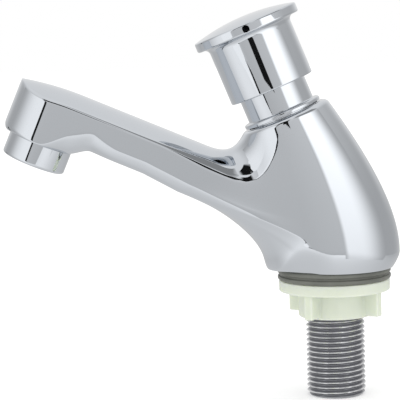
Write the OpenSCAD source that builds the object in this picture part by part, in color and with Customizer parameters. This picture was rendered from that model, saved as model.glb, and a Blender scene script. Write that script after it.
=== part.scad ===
// Push timed basin tap: a self-closing pillar tap with a leaning push button, a rising spout,
// a threaded inlet shank, a base gasket and a winged back nut.
// Millimetres, +Z up. The origin is the centre of the tap hole on the deck, under the gasket.
// The spout points along -Y, and the tap is symmetric about the plane X = 0.

/* [Base gasket] */
// Diameter of the rubber gasket
gasket_d = 40.4; // [36:0.1:44]
// Height of the gasket between deck and body
gasket_h = 4.2; // [3:0.1:6]
// Depth of the groove round the gasket's edge
gasket_groove = 0.9; // [0.4:0.1:1.5]

/* [Inlet shank] */
// Outside diameter over the thread's crests, a half-inch pipe thread
shank_d = 20.955; // [19:0.005:22.5]
// Bore of the shank
shank_bore = 14; // [12:0.1:15]
// Length of shank below the deck
shank_reach = 42; // [36:0.5:60]
// Length of shank held inside the body
shank_engagement = 8; // [6:0.1:9]
// Chamfer at the open end of the shank
shank_chamfer = 1.2; // [0.5:0.1:2]
// Thickness of the fibre washer above the shank
shank_washer_t = 1; // [0.6:0.1:1.5]
// Height of the strainer seated in the top of the shank
strainer_h = 1.5; // [1:0.1:2]
// Width of the ledge that carries the strainer
strainer_ledge = 1.2; // [0.8:0.1:1.5]

/* [Back nut] */
// Setback of the nut's flange from the gasket's edge
flange_setback = 0.4; // [0:0.1:2]
// Thickness of the nut's flange
nut_flange_h = 4; // [3:0.1:6]
// Height of the whole nut
nut_h = 13.2; // [11:0.1:16]
// Diameter of the nut's hub
nut_hub_d = 26; // [25:0.1:30]
// Distance across two opposite wing tips
wing_span = 36.8; // [34:0.1:39]
// Thickness of a wing
wing_t = 3.2; // [2:0.1:5]
// Step from the hub's end up to the end of a wing
wing_step = 0.6; // [0.2:0.1:2]
// Number of wings
wing_count = 4; // [3:1:6]
// Angle of the first wing from the +X side
wing_turn = 57; // [0:1:90]

/* [Body] */
// Diameter of the body above its bottom edge
base_d = 46.4; // [44:0.1:52]
// Rounding of the bottom edge
base_fillet = 4; // [2:0.1:4.5]
// Lean of the button axis from the shank axis
lean = 21.6; // [16:0.1:26]
// Height at which the button axis crosses the shank axis
axis_crossing = 16.2; // [15:0.1:18]
// Distance along the button axis from that crossing to the collar
collar_rise = 45.7; // [44.5:0.1:50]
// Ledge of the collar outside the bonnet's ring
collar_ledge = 2.1; // [1:0.1:4]
// Rounding of the collar's shoulder
collar_edge = 1.8; // [1:0.1:2]
// Swell of the body from front to back, halfway up
depth_swell = 3.9; // [2:0.1:6]
// Swell of the body from side to side, halfway up
width_swell = 1.2; // [0:0.1:3]

/* [Spout] */
// Distance of the outlet's centre in front of the shank axis
spout_reach = 103.4; // [95:0.1:120]
// Height of the outlet's joint face above the deck
outlet_height = 51.7; // [48:0.1:58]
// Rise of the spout from level
spout_rise = 23.5; // [20:0.1:27]
// Width of the spout, and diameter of its round end
spout_w = 29; // [28:0.1:33]
// Height of the spout's end above the outlet face
spout_h = 20.7; // [19:0.1:24]
// Crown of the spout's top face
top_crown = 4.2; // [1:0.1:5]
// Fall of the top face towards the tip
tip_droop = 2.3; // [0:0.1:3]
// Rounding of the tip's bottom edge
tip_fillet = 2.5; // [1:0.1:3]
// Height of the underside above the outlet face, behind the outlet
arm_recess = 3.9; // [2:0.1:5]
// Fall of the underside towards the body, in each millimetre
arm_taper = 0.1; // [0:0.01:0.12]
// Rounding of the arm's lower edges
arm_lower_edge = 6; // [3:0.1:6.5]
// Rounding of the arm's upper edges
arm_upper_edge = 1; // [0.6:0.1:2]
// Rounding of the arm's upper edges where it leaves the body
arm_root_edge = 6; // [3:0.1:6.5]
// Straight length of the arm behind the outlet's centre
arm_length = 52; // [46:0.5:56]

/* [Waterway] */
// Bore that leads water from the cartridge to the spout
waterway_d = 8; // [6:0.1:9]
// Cored bore along the spout
spout_core_d = 9.6; // [8:0.1:10.5]

/* [Bonnet] */
// Bore of the timing chamber
chamber_d = 18; // [17:0.1:19]
// Wall of the sleeve round the chamber
sleeve_wall = 3.2; // [2.4:0.1:4]
// Height of the sleeve above the collar
sleeve_h = 23; // [22:0.1:25]
// Thickness of the sleeve's top wall
sleeve_top = 4; // [3.6:0.1:5]
// Ledge of the bonnet's ring outside the sleeve
ring_ledge = 2; // [1.5:0.1:3]
// Height of the bonnet's ring
ring_h = 2; // [1.5:0.1:3]
// Wall of the threaded spigot in the body
spigot_wall = 2.4; // [1.8:0.1:3]
// Length of the threaded spigot
spigot_l = 9; // [7:0.1:10]
// Section diameter of the bonnet's sealing ring
bonnet_ring_d = 1.5; // [1.2:0.1:1.8]

/* [Push button] */
// Travel of the button
travel = 6; // [4:0.1:6.5]
// Gap from the collar up to the skirt
skirt_rise = 10.4; // [9:0.1:12]
// Play between sleeve and skirt
skirt_play = 1.2; // [0.6:0.1:2]
// Wall of the skirt
skirt_wall = 1.95; // [1.5:0.05:3]
// Length of the skirt up to the cap
skirt_l = 21.6; // [20:0.1:24]
// Overhang of the cap beyond the skirt
cap_overhang = 3.85; // [2:0.05:6]
// Height of the cap's rim
cap_rim = 3.5; // [3:0.1:5]
// Crown of the cap above its rim
cap_crown = 2.7; // [1:0.1:4]
// Hollow under the skirt fillet, at the cap
skirt_fillet = 2; // [1:0.1:3]
// Diameter of the set screw
set_screw_d = 2.4; // [2:0.1:3]
// Length of the set screw
set_screw_l = 5; // [4:0.1:8]

/* [Spindle and piston] */
// Diameter of the spindle above the piston
spindle_d = 8; // [7:0.1:9]
// Diameter of the spindle's stem below the piston
stem_d = 6; // [5:0.1:6.4]
// Length of the piston
piston_l = 6; // [5:0.1:7]
// Room above the piston at rest
piston_headroom = 4; // [3:0.1:5]
// Width of the piston's lip seal
lip_seal_w = 2; // [1.5:0.1:2.5]
// Radial depth of the lip seal
lip_seal_depth = 1.7; // [1.2:0.1:2]
// Diameter of the timing jet in the piston
jet_d = 2; // [1.6:0.1:2.4]
// Water hole through the timing jet
jet_hole = 0.6; // [0.4:0.1:0.8]
// Thickness of the clip under the piston
clip_t = 0.8; // [0.6:0.1:1]
// Section diameter of the spindle's sealing rings
stem_ring_d = 1.4; // [1.2:0.1:1.5]

/* [Return spring] */
// Wire of the return spring
wire_d = 1.2; // [1:0.1:1.4]
// Mean diameter of the return spring
spring_d = 12.8; // [12.2:0.1:13.4]
// Turns of the return spring
spring_turns = 9; // [7:1:11]

/* [Cartridge] */
// Step from the spigot in to the barrel
barrel_step = 1; // [0.6:0.1:1.4]
// Wall of the barrel
barrel_wall = 2.2; // [1.8:0.1:2.6]
// Depth of the spring well in the barrel
well_depth = 11; // [9:0.1:12]
// Thickness of the wall that guides the stem
partition_t = 3; // [2.6:0.1:4]
// Height of the outlet chamber in the barrel
outlet_chamber_h = 11.4; // [10.5:0.1:12.5]
// Thickness of the valve seat
seat_t = 2.6; // [2.4:0.1:3.2]
// Hole through the valve seat
seat_d = 10; // [8:0.1:11]
// Diameter of the side ports
port_d = 6.5; // [5:0.1:7.5]
// Number of side ports
port_count = 4; // [2:1:6]
// Section diameter of the barrel's sealing rings
barrel_ring_d = 1.6; // [1.2:0.1:1.7]
// Diameter of the valve washer
washer_d = 13; // [12.5:0.1:14]
// Thickness of the valve washer
washer_t = 2; // [1.5:0.1:2.2]
// Thickness of the valve head
head_t = 2; // [1.5:0.1:2.2]
// Room for water round the valve washer
flow_gap = 1.5; // [1:0.1:2]

/* [Aerator] */
// Diameter of the aerator's housing
aerator_d = 23; // [22.4:0.1:26]
// Height of the housing below the spout
aerator_h = 8.3; // [7:0.1:10]
// Wall of the housing round its insert
aerator_wall = 2.2; // [2:0.1:2.6]
// Length of the threaded neck inside the spout
neck_l = 8; // [6:0.1:9]
// Step from the housing in to its neck
neck_step = 1.2; // [0.8:0.1:1.6]
// Rounding of the housing's bottom edge
aerator_edge = 1; // [0.5:0.1:1.5]
// Recess of the insert's face inside the housing
insert_recess = 1.2; // [0.5:0.1:2]
// Height of the insert
insert_h = 9; // [7:0.1:10]
// Pitch of the insert's square holes
mesh_pitch = 2; // [1.6:0.1:3]
// Bars between the insert's square holes
mesh_bar = 0.6; // [0.4:0.1:0.8]
// Thickness of the screen above the insert
screen_t = 0.8; // [0.5:0.1:1.2]
// Thickness of the rubber washer above the neck
aerator_washer_t = 1.6; // [1:0.1:2]

/* [Clearances] */
// Gap round a part that is screwed or pressed home
seat_gap = 0.05; // [0.03:0.01:0.1]
// Gap round a part that slides
slide_gap = 0.06; // [0.03:0.01:0.1]
// Gap between flat faces that meet and part
face_gap = 0.05; // [0.03:0.01:0.1]
// Gap between the shank's thread and the back nut
thread_gap = 0.08; // [0.05:0.01:0.1]

/* [Hidden] */

// Overshoot of a cut past the face it opens
cut = 1;
// Faces along a small edge arc
arc_steps = 5;
// Room left at the end of a stroke
end_room = 0.5;
// Share of a section's half width that a corner's rounding may take
corner_share = 0.7;

// Finishes
chrome = "silver";
raw_brass = "darkkhaki";
dark_rubber = "dimgray";
nut_plastic = "honeydew";
shank_metal = "gray";
white_plastic = "whitesmoke";

// Button axis, in heights above the collar
chamber_r = chamber_d / 2;
sleeve_r = chamber_r + sleeve_wall;
ring_r = sleeve_r + ring_ledge;
collar_r = ring_r + collar_ledge;
spigot_r = chamber_r + spigot_wall;
skirt_in_r = sleeve_r + skirt_play;
skirt_r = skirt_in_r + skirt_wall;
cap_r = skirt_r + cap_overhang;
cap_under = skirt_rise + skirt_l;
cap_edge = cap_under + cap_rim;
cap_web = 0.5;
ceiling = cap_under - cap_web;
boss_wall = 3.5;
boss_r = spindle_d / 2 + boss_wall;
boss_end = sleeve_h + travel + end_room;
spindle_r = spindle_d / 2;
stem_r = stem_d / 2;
spindle_top = cap_edge;
set_screw_r = set_screw_d / 2;
set_screw_at = cap_under + cap_rim / 2;
chamber_top = sleeve_h - sleeve_top;
piston_top = chamber_top - piston_headroom;
piston_end = piston_top - piston_l;
piston_r = chamber_r - 2 * slide_gap;
lip_seal_r = chamber_r - slide_gap;
lip_groove_r = lip_seal_r - lip_seal_depth;
lip_seal_at = piston_end + piston_l / 2;
jet_r = jet_d / 2;
jet_at = (stem_r + lip_groove_r) / 2;
clip_w = 2.1;
clip_bite = 0.5;
clip_groove_r = stem_r - clip_bite;
clip_r = clip_groove_r + clip_w;
barrel_r = spigot_r - barrel_step;
barrel_in_r = barrel_r - barrel_wall;
barrel_top = -spigot_l;
well_floor = barrel_top - well_depth;
outlet_chamber_top = well_floor - partition_t;
seat_top = outlet_chamber_top - outlet_chamber_h;
barrel_end = seat_top - seat_t;
port_at = (outlet_chamber_top + seat_top) / 2;
upper_ring_at = (well_floor + outlet_chamber_top) / 2;
lower_ring_at = (seat_top + barrel_end) / 2;
washer_top = barrel_end - face_gap;
head_top = washer_top - washer_t;
stem_end = head_top - head_t;
inlet_chamber_r = washer_d / 2 + flow_gap;
inlet_chamber_end = stem_end - travel - 2 * end_room;

// Inlet, in heights above the deck
shank_r = shank_d / 2;
shank_top = gasket_h + shank_engagement;
socket_top = shank_top + shank_washer_t + face_gap;
strainer_r = shank_bore / 2 + strainer_ledge;
strainer_seat = shank_top - strainer_h - face_gap;
nut_bore_r = shank_r + thread_gap;

// Outlet, in heights above the outlet's joint face
spout_r = spout_w / 2;
aerator_r = aerator_d / 2;
neck_r = aerator_r - neck_step;
insert_r = aerator_r - aerator_wall;
insert_end = insert_recess - aerator_h;
insert_top = insert_end + insert_h;
outlet_bore_r = neck_r + seat_gap;
outlet_bore_h = neck_l + aerator_washer_t + 2 * face_gap;
screen_top = insert_top + face_gap + screen_t;
neck_bore_r = insert_r - aerator_wall / 2;

// Centre line of the body in the side plane, as [forward, up]
base_point = [0, gasket_h];
crossing_point = [0, axis_crossing];
collar_point = crossing_point + collar_rise * [sin(lean), cos(lean)];
outlet_point = [spout_reach, outlet_height];

function mix(a, b, t) = a + (b - a) * t;
function ease(t) = let (k = max(0, min(1, t))) k * k * (3 - 2 * k);
function unit(v) = v / norm(v);
function at_side(x, p) = [x, -p[0], p[1]];
function arc(centre, r, from, to, steps = arc_steps) =
    [for (i = [0:steps]) let (a = mix(from, to, i / steps)) centre + r * [cos(a), sin(a)]];

// Trunk of the body: rings round a bent centre line, which leaves the base upright and
// reaches the collar along the button axis
trunk_rows = 17;
trunk_columns = 48;
shoulder_rows = 3;
shoulder_row = trunk_rows - shoulder_rows;
shoulder_t = 1 - collar_edge / (2 * collar_rise);
function trunk_t(row) =
    row < shoulder_row
        ? shoulder_t * pow(row / shoulder_row, 1.5)
        : 1 - (1 - shoulder_t) * (1 - sin(90 * (row - shoulder_row) / shoulder_rows));
function spine(t) =
    pow(1 - t, 2) * base_point + 2 * t * (1 - t) * crossing_point + t * t * collar_point;
function spine_tilt(t) =
    let (d = (1 - t) * (crossing_point - base_point) + t * (collar_point - crossing_point))
    atan2(d[0], d[1]);
function bottom_edge(t) =
    let (k = min(1, (spine(t)[1] - gasket_h) / base_fillet))
    base_fillet * (1 - sqrt(1 - pow(1 - k, 2)));
function top_edge(t) =
    let (k = min(1, (1 - t) / (1 - shoulder_t)))
    collar_edge * (1 - sqrt(1 - pow(1 - k, 2)));
function trunk_r(t, swell, edged) =
    mix(base_d / 2, collar_r, t) + 4 * t * (1 - t) * swell
    - edged * (bottom_edge(t) + top_edge(t));
function trunk_point(phi, t, edged = 1) =
    let (
        forward = trunk_r(t, depth_swell, edged) * cos(phi),
        aside = trunk_r(t, width_swell, edged) * sin(phi),
        a = spine_tilt(t)
    )
    at_side(aside, spine(t) + forward * [cos(a), -sin(a)]);

// Spout arm: sections square to the rising spout, with s along it and h above the outlet face
arm_dir = [cos(spout_rise), sin(spout_rise)];
arm_up = [-sin(spout_rise), cos(spout_rise)];
// The outlet block's back edge, and the slope from there up to the arm's underside
block_margin = 0.3;
block_back = aerator_r + block_margin;
block_slope = 6;
// Distance behind the outlet at which the underside starts to fall
taper_start = 38;
// Lower edges: small at the block, growing backwards from edge_start over edge_growth
block_edge = 0.5;
edge_start = 2;
edge_growth = 14;
// Length over which the upper edges grow towards the body
root_growth = 18;
// Place along the arm at which the top face starts to fall
droop_start = -8;
function arm_half_width(s) = s > 0 ? sqrt(pow(spout_r, 2) - s * s) : spout_r;
function arm_top(s) =
    spout_h - top_crown - tip_droop * pow(max(0, s - droop_start) / (spout_r - droop_start), 2);
function tip_lift(s) =
    let (k = max(0, s - spout_r + tip_fillet) / tip_fillet)
    tip_fillet * (1 - sqrt(1 - k * k));
function arm_bottom(s) =
    arm_recess * ease((-s - block_back) / block_slope)
    - arm_taper * max(0, -s - taper_start) + tip_lift(s);
function arm_low_edge(s) =
    let (
        grown = ease((-s - edge_start) / edge_growth),
        at_tip = ease(s / spout_r)
    )
    min(
        block_edge + (arm_lower_edge - block_edge) * grown + (tip_fillet - block_edge) * at_tip,
        corner_share * arm_half_width(s)
    );
function arm_high_edge(s) =
    let (rooted = ease(1 - (s + arm_length) / root_growth))
    min(mix(arm_upper_edge, arm_root_edge, rooted), corner_share * arm_half_width(s));

// A section is four edges, each from the middle of one corner arc to the middle of the next
wide_cells = [4, 12, 4];
tall_cells = [3, 4, 3];
function arm_corner(s, k) =
    let (w = arm_half_width(s), low = arm_low_edge(s), high = arm_high_edge(s))
    [
        [[low - w, arm_bottom(s) + low], low],
        [[w - low, arm_bottom(s) + low], low],
        [[w - high, arm_top(s) - high], high],
        [[high - w, arm_top(s) - high], high]
    ][k % 4];
function corner_point(c, a) = c[0] + c[1] * [cos(a), sin(a)];
function arm_edge(s, k, cells) =
    let (c0 = arm_corner(s, k), c1 = arm_corner(s, k + 1), a = 270 + 90 * k)
    concat(
        [for (i = [0:cells[0] - 1]) corner_point(c0, a - 45 + 45 * i / cells[0])],
        [for (i = [0:cells[1] - 1]) mix(corner_point(c0, a), corner_point(c1, a), i / cells[1])],
        [for (i = [0:cells[2] - 1]) corner_point(c1, a + 45 * i / cells[2])]
    );
function crowned(s, p) =
    let (
        middle = (arm_top(s) + arm_bottom(s)) / 2,
        k = max(0, p[1] - middle) / (arm_top(s) - middle),
        across = p[0] / spout_r
    )
    [p[0], p[1] + top_crown * k * k * (1 - across * across)];
function arm_ring(s) =
    [
        for (k = [0:3], p = arm_edge(s, k, k % 2 == 0 ? wide_cells : tall_cells))
        let (c = crowned(s, p))
        at_side(c[0], outlet_point + s * arm_dir + c[1] * arm_up)
    ];

// Stations along the arm: the straight part, the slope behind the outlet, the outlet block
// and the half-round tip
tip_end_angle = 84;
arm_stations = concat(
    [for (i = [0:5]) mix(-arm_length, -block_back - block_slope, i / 6)],
    [for (i = [0:3]) mix(-block_back - block_slope, -block_back, i / 4)],
    [for (i = [0:1]) mix(-block_back, 0, i / 2)],
    [for (i = [0:6]) spout_r * sin(tip_end_angle * i / 6)]
);

// The window in the trunk that the arm grows from, as rows and columns of the trunk's grid
window_low = 6;
window_high = trunk_rows - 1;
window_half = 10;
function column(j) = (j + trunk_columns) % trunk_columns;
window_cells = concat(
    [for (j = [-window_half:window_half - 1]) [window_low, j]],
    [for (i = [window_low:window_high - 1]) [i, window_half]],
    [for (j = [window_half:-1:1 - window_half]) [window_high, j]],
    [for (i = [window_high:-1:window_low + 1]) [i, -window_half]]
);
ring_count = len(window_cells);

// The flare from window to arm: a cubic curve from each point of the window, which sets off
// along the trunk towards the window's middle and arrives along the arm. At the window's sides
// it leaves the trunk as if that had no rounded shoulder
flare_rows = 10;
flare_lift = 0.1;
flare_low_pull = 0.8;
flare_high_pull = 1.5;
flare_end_pull = 0.8;
function window_point(c) = trunk_point(360 * c[1] / trunk_columns, trunk_t(c[0]));
function flare_start(c) =
    let (
        phi = 360 * c[1] / trunk_columns,
        t = trunk_t(c[0]),
        step = 0.002,
        rise = (c[0] - window_low) / (window_high - window_low),
        across = c[1] / window_half,
        over = unit(trunk_point(phi, t) - trunk_point(phi, t - step)),
        plain = unit(trunk_point(phi, t, 0) - trunk_point(phi, t - step, 0)),
        along_t = unit(mix(over, plain, across * across)),
        along_phi = unit(trunk_point(phi + 1, t) - trunk_point(phi, t)),
        inward = unit((1 - 2 * rise) * along_t - across * along_phi),
        share = flare_lift * rise
    )
    mix(flare_low_pull, flare_high_pull, rise)
    * unit((1 - share) * inward + share * at_side(0, arm_dir));
arm_root_ring = arm_ring(-arm_length);
function flare_point(i, k) =
    let (
        t = i / flare_rows,
        p0 = window_point(window_cells[k]),
        p1 = arm_root_ring[k],
        reach = norm(p1 - p0),
        m0 = reach * flare_start(window_cells[k]),
        m1 = reach * flare_end_pull * at_side(0, arm_dir)
    )
    (2 * pow(t, 3) - 3 * t * t + 1) * p0 + (pow(t, 3) - 2 * t * t + t) * m0
    + (3 * t * t - 2 * pow(t, 3)) * p1 + (pow(t, 3) - t * t) * m1;

// One closed skin: trunk grid with its window left open, flare, arm, and three flat ends
trunk_points = [
    for (i = [0:trunk_rows], j = [0:trunk_columns - 1])
    trunk_point(360 * j / trunk_columns, trunk_t(i))
];
spout_points = concat(
    [for (i = [1:flare_rows - 1], k = [0:ring_count - 1]) flare_point(i, k)],
    [for (s = arm_stations) each arm_ring(s)]
);
spout_rings = flare_rows - 1 + len(arm_stations);
function trunk_index(i, j) = i * trunk_columns + column(j);
function in_window(i, j) =
    let (signed = j < trunk_columns / 2 ? j : j - trunk_columns)
    i >= window_low && i < window_high && signed >= -window_half && signed < window_half;
function spout_index(ring, k) =
    let (m = k % ring_count)
    ring == 0
        ? trunk_index(window_cells[m][0], window_cells[m][1])
        : len(trunk_points) + (ring - 1) * ring_count + m;
skin_faces = concat(
    [
        for (i = [0:trunk_rows - 1], j = [0:trunk_columns - 1])
        if (!in_window(i, j))
        each [
            [trunk_index(i, j), trunk_index(i + 1, j), trunk_index(i + 1, j + 1)],
            [trunk_index(i, j), trunk_index(i + 1, j + 1), trunk_index(i, j + 1)]
        ]
    ],
    [
        for (r = [0:spout_rings - 1], k = [0:ring_count - 1])
        each [
            [spout_index(r, k), spout_index(r + 1, k), spout_index(r + 1, k + 1)],
            [spout_index(r, k), spout_index(r + 1, k + 1), spout_index(r, k + 1)]
        ]
    ],
    [[for (j = [0:trunk_columns - 1]) trunk_index(0, j)]],
    [[for (j = [trunk_columns - 1:-1:0]) trunk_index(trunk_rows, j)]],
    [[for (k = [ring_count - 1:-1:0]) spout_index(spout_rings, k)]]
);

// Local frames: z along the button axis from the collar, and z up from the outlet face
module on_button_axis() {
    translate(at_side(0, collar_point)) rotate([lean, 0, 0]) children();
}
module on_outlet() {
    translate(at_side(0, outlet_point)) rotate([-spout_rise, 0, 0]) children();
}
module rod(r, from, to) {
    translate([0, 0, from]) cylinder(r = r, h = to - from);
}
module ring(r_in, r_out, from, to) {
    difference() {
        rod(r_out, from, to);
        rod(r_in, from - cut, to + cut);
    }
}
module seal_ring(mean_r, section_d, at) {
    translate([0, 0, at]) rotate_extrude() translate([mean_r, 0]) circle(d = section_d);
}
module bore_between(from, to, r) {
    rise = atan2(to[1] - from[1], to[0] - from[0]);
    translate(at_side(0, from)) rotate([90 - rise, 0, 0]) cylinder(r = r, h = norm(to - from));
}

// Body

module tap_body() {
    forward = [cos(lean), -sin(lean)];
    port_point = collar_point + port_at * [sin(lean), cos(lean)];
    cartridge_side = port_point + barrel_in_r * forward;
    core_rise = (arm_recess + spout_h - top_crown) / 2;
    core_front = outlet_point + core_rise * arm_up;
    core_back = core_front - arm_length * arm_dir;
    seal_recess_r = spigot_r + bonnet_ring_d + 2 * seat_gap;
    seal_recess_h = bonnet_ring_d + 2 * face_gap;
    color(chrome) difference() {
        polyhedron(concat(trunk_points, spout_points), skin_faces, convexity = 6);
        on_button_axis() {
            rod(seal_recess_r, -seal_recess_h, cut);
            rod(spigot_r + seat_gap, barrel_top, cut);
            rod(barrel_r + seat_gap, barrel_end, cut);
            rod(inlet_chamber_r, inlet_chamber_end, cut);
        }
        rod(shank_r + seat_gap, gasket_h - cut, socket_top);
        rod(shank_bore / 2, gasket_h - cut, axis_crossing + shank_bore / 4);
        bore_between(cartridge_side, core_back + waterway_d / 2 * arm_dir, waterway_d / 2);
        bore_between(core_back, core_front, spout_core_d / 2);
        on_outlet() rod(outlet_bore_r, -cut, outlet_bore_h);
    }
}

module base_gasket() {
    r = gasket_d / 2;
    rib = gasket_h / 4;
    half_groove = gasket_groove / 2;
    color(dark_rubber) rotate_extrude() difference() {
        polygon(concat(
            [[shank_r + seat_gap, 0]],
            arc([r - rib, rib], rib, -90, 90),
            arc([r - rib, 3 * rib], rib, -90, 90),
            [[shank_r + seat_gap, gasket_h]]
        ));
        translate([r - rib - half_groove, gasket_h / 2 - half_groove])
            square([rib + gasket_groove, gasket_groove]);
    }
}

// Inlet

module inlet_shank() {
    color(shank_metal) difference() {
        union() {
            rod(shank_r, shank_chamfer - shank_reach, shank_top);
            translate([0, 0, -shank_reach])
                cylinder(r1 = shank_r - shank_chamfer, r2 = shank_r, h = shank_chamfer);
        }
        rod(shank_bore / 2, -shank_reach - cut, shank_top + cut);
        rod(strainer_r + seat_gap, strainer_seat, shank_top + cut);
    }
}

module shank_washer() {
    color(dark_rubber) ring(strainer_r, shank_r - seat_gap, shank_top, shank_top + shank_washer_t);
}

module inlet_strainer() {
    hole_r = 0.8;
    hole_rings = 2;
    hole_step = shank_bore / 2 / (hole_rings + 1) + hole_r / (hole_rings + 1) / 2;
    color("gainsboro") difference() {
        rod(strainer_r, strainer_seat, strainer_seat + strainer_h);
        for (k = [0:hole_rings], i = [0:max(1, 6 * k) - 1])
            rotate(360 * i / max(1, 6 * k))
                translate([k * hole_step, 0])
                    rod(hole_r, strainer_seat - cut, shank_top + cut);
    }
}

module back_nut() {
    top = -face_gap;
    edge = 0.6;
    hub_edge = wing_step / 2;
    r = gasket_d / 2 - flange_setback;
    hub_r = nut_hub_d / 2;
    color(nut_plastic) difference() {
        union() {
            rotate_extrude() polygon(concat(
                [[0, top]],
                [[r - edge, top], [r, top - edge]],
                [[r, top - nut_flange_h + edge], [r - edge, top - nut_flange_h]],
                [[hub_r, top - nut_flange_h], [hub_r, top - nut_h + hub_edge]],
                [[hub_r - hub_edge, top - nut_h], [0, top - nut_h]]
            ));
            for (i = [0:wing_count - 1])
                rotate(wing_turn + 360 * i / wing_count)
                    translate([0, -wing_t / 2, top - nut_h + wing_step])
                        cube([wing_span / 2, wing_t, nut_h - wing_step - nut_flange_h / 2]);
        }
        rod(nut_bore_r, top - nut_h - cut, cut);
    }
}

// Bonnet and its seals

module bonnet() {
    chamfer = 0.7;
    groove_r = spindle_r + stem_ring_d + 2 * slide_gap;
    groove_h = stem_ring_d + 2 * face_gap;
    groove_at = sleeve_h - sleeve_top / 2;
    color(chrome) on_button_axis() difference() {
        rotate_extrude() polygon([
            [0, barrel_top],
            [spigot_r, barrel_top],
            [spigot_r, 0],
            [ring_r, 0],
            [ring_r, ring_h - chamfer],
            [ring_r - chamfer, ring_h],
            [sleeve_r, ring_h],
            [sleeve_r, sleeve_h - chamfer],
            [sleeve_r - chamfer, sleeve_h],
            [0, sleeve_h]
        ]);
        rod(chamber_r, barrel_top - cut, chamber_top);
        rod(spindle_r + slide_gap, barrel_top, sleeve_h + cut);
        rod(groove_r, groove_at - groove_h / 2, groove_at + groove_h / 2);
    }
}

module bonnet_oring() {
    mean_r = spigot_r + seat_gap + bonnet_ring_d / 2;
    color(dark_rubber) on_button_axis()
        seal_ring(mean_r, bonnet_ring_d, -face_gap - bonnet_ring_d / 2);
}

module spindle_oring() {
    color(dark_rubber) on_button_axis()
        seal_ring(spindle_r + slide_gap + stem_ring_d / 2, stem_ring_d, sleeve_h - sleeve_top / 2);
}

// Button, spindle and piston

module push_button() {
    edge = 0.6;
    lip = 0.5;
    socket_top = spindle_top + face_gap;
    crown_w = cap_r - edge;
    crown_r = (crown_w * crown_w + cap_crown * cap_crown) / (2 * cap_crown);
    crown_centre = [0, cap_edge + cap_crown - crown_r];
    crown_half = asin(crown_w / crown_r);
    color(chrome) on_button_axis() difference() {
        rotate_extrude() polygon(concat(
            [[spindle_r + seat_gap, boss_end], [boss_r, boss_end], [boss_r, ceiling]],
            [[skirt_in_r, ceiling], [skirt_in_r, skirt_rise]],
            arc([skirt_r - lip, skirt_rise + lip], lip, -90, 0),
            arc([skirt_r + skirt_fillet, cap_under - skirt_fillet], skirt_fillet, 180, 90),
            arc([cap_r - edge, cap_under + edge], edge, -90, 0),
            arc([cap_r - edge, cap_edge - edge], edge, 0, 90 - crown_half),
            arc(crown_centre, crown_r, 90 - crown_half, 90, 2 * arc_steps),
            [[0, socket_top], [spindle_r + seat_gap, socket_top]]
        ));
        translate([0, 0, set_screw_at]) rotate([0, 90, 0])
            rod(set_screw_r + seat_gap, 0, cap_r + cut);
    }
}

module button_set_screw() {
    key_r = set_screw_r / 2;
    start = spindle_r + face_gap;
    color(shank_metal) on_button_axis() translate([0, 0, set_screw_at]) rotate([0, 90, 0])
        difference() {
            rod(set_screw_r, start, start + set_screw_l);
            translate([0, 0, start + set_screw_l / 2]) cylinder(r = key_r, h = set_screw_l, $fn = 6);
        }
}

module spindle() {
    clip_at = piston_end - face_gap - clip_t;
    color(raw_brass) on_button_axis() difference() {
        union() {
            rod(spindle_r, piston_top, spindle_top);
            rod(stem_r, stem_end, piston_top);
        }
        ring(clip_groove_r, spindle_r, clip_at - face_gap, clip_at + clip_t + face_gap);
    }
}

module piston() {
    jet_seat = piston_end + piston_l / 2;
    color(white_plastic) on_button_axis() difference() {
        rod(piston_r, piston_end, piston_top - face_gap);
        rod(stem_r + seat_gap, piston_end - cut, piston_top + cut);
        ring(lip_groove_r, chamber_r,
            lip_seal_at - lip_seal_w / 2 - face_gap, lip_seal_at + lip_seal_w / 2 + face_gap);
        translate([jet_at, 0]) {
            rod(jet_r + seat_gap, jet_seat, piston_top + cut);
            rod(jet_hole, piston_end - cut, piston_top);
        }
    }
}

module piston_lip_seal() {
    lip_l = lip_seal_w / 2;
    color(dark_rubber) on_button_axis() rotate_extrude() polygon([
        [lip_groove_r + seat_gap, lip_seal_at - lip_l],
        [lip_seal_r - lip_l / 2, lip_seal_at - lip_l],
        [lip_seal_r, lip_seal_at + lip_l],
        [lip_seal_r - lip_l / 2, lip_seal_at + lip_l],
        [lip_seal_r - lip_l, lip_seal_at],
        [lip_groove_r + seat_gap, lip_seal_at]
    ]);
}

module timing_jet() {
    color(raw_brass) on_button_axis() translate([jet_at, 0])
        ring(jet_hole / 2, jet_r, piston_end + piston_l / 2, piston_top - 2 * face_gap);
}

module piston_clip() {
    clip_at = piston_end - face_gap - clip_t;
    color(shank_metal) on_button_axis() difference() {
        ring(clip_groove_r + seat_gap, clip_r, clip_at, clip_at + clip_t);
        translate([0, -clip_groove_r, clip_at - cut])
            cube([clip_r + cut, 2 * clip_groove_r, clip_t + 2 * cut]);
    }
}

module return_spring() {
    sides = 6;
    rings = 12 * spring_turns;
    from = well_floor + wire_d / 2 + face_gap;
    to = piston_end - wire_d / 2 - face_gap;
    climb = atan2((to - from) / spring_turns, PI * spring_d);
    points = [
        for (i = [0:rings], j = [0:sides - 1])
        let (
            turn = 360 * spring_turns * i / rings,
            a = 360 * j / sides,
            out = [cos(turn), sin(turn), 0],
            side = [sin(turn) * sin(climb), -cos(turn) * sin(climb), cos(climb)]
        )
        out * (spring_d + wire_d * cos(a)) / 2 + side * wire_d / 2 * sin(a)
        + [0, 0, mix(from, to, i / rings)]
    ];
    faces = concat(
        [
            for (i = [0:rings - 1], j = [0:sides - 1])
            let (a = i * sides + j, b = i * sides + (j + 1) % sides)
            each [[a, b, b + sides], [a, b + sides, a + sides]]
        ],
        [[for (j = [sides - 1:-1:0]) j], [for (j = [0:sides - 1]) rings * sides + j]]
    );
    color("lightsteelblue") on_button_axis() polyhedron(points, faces, convexity = 10);
}

// Valve cartridge

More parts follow.
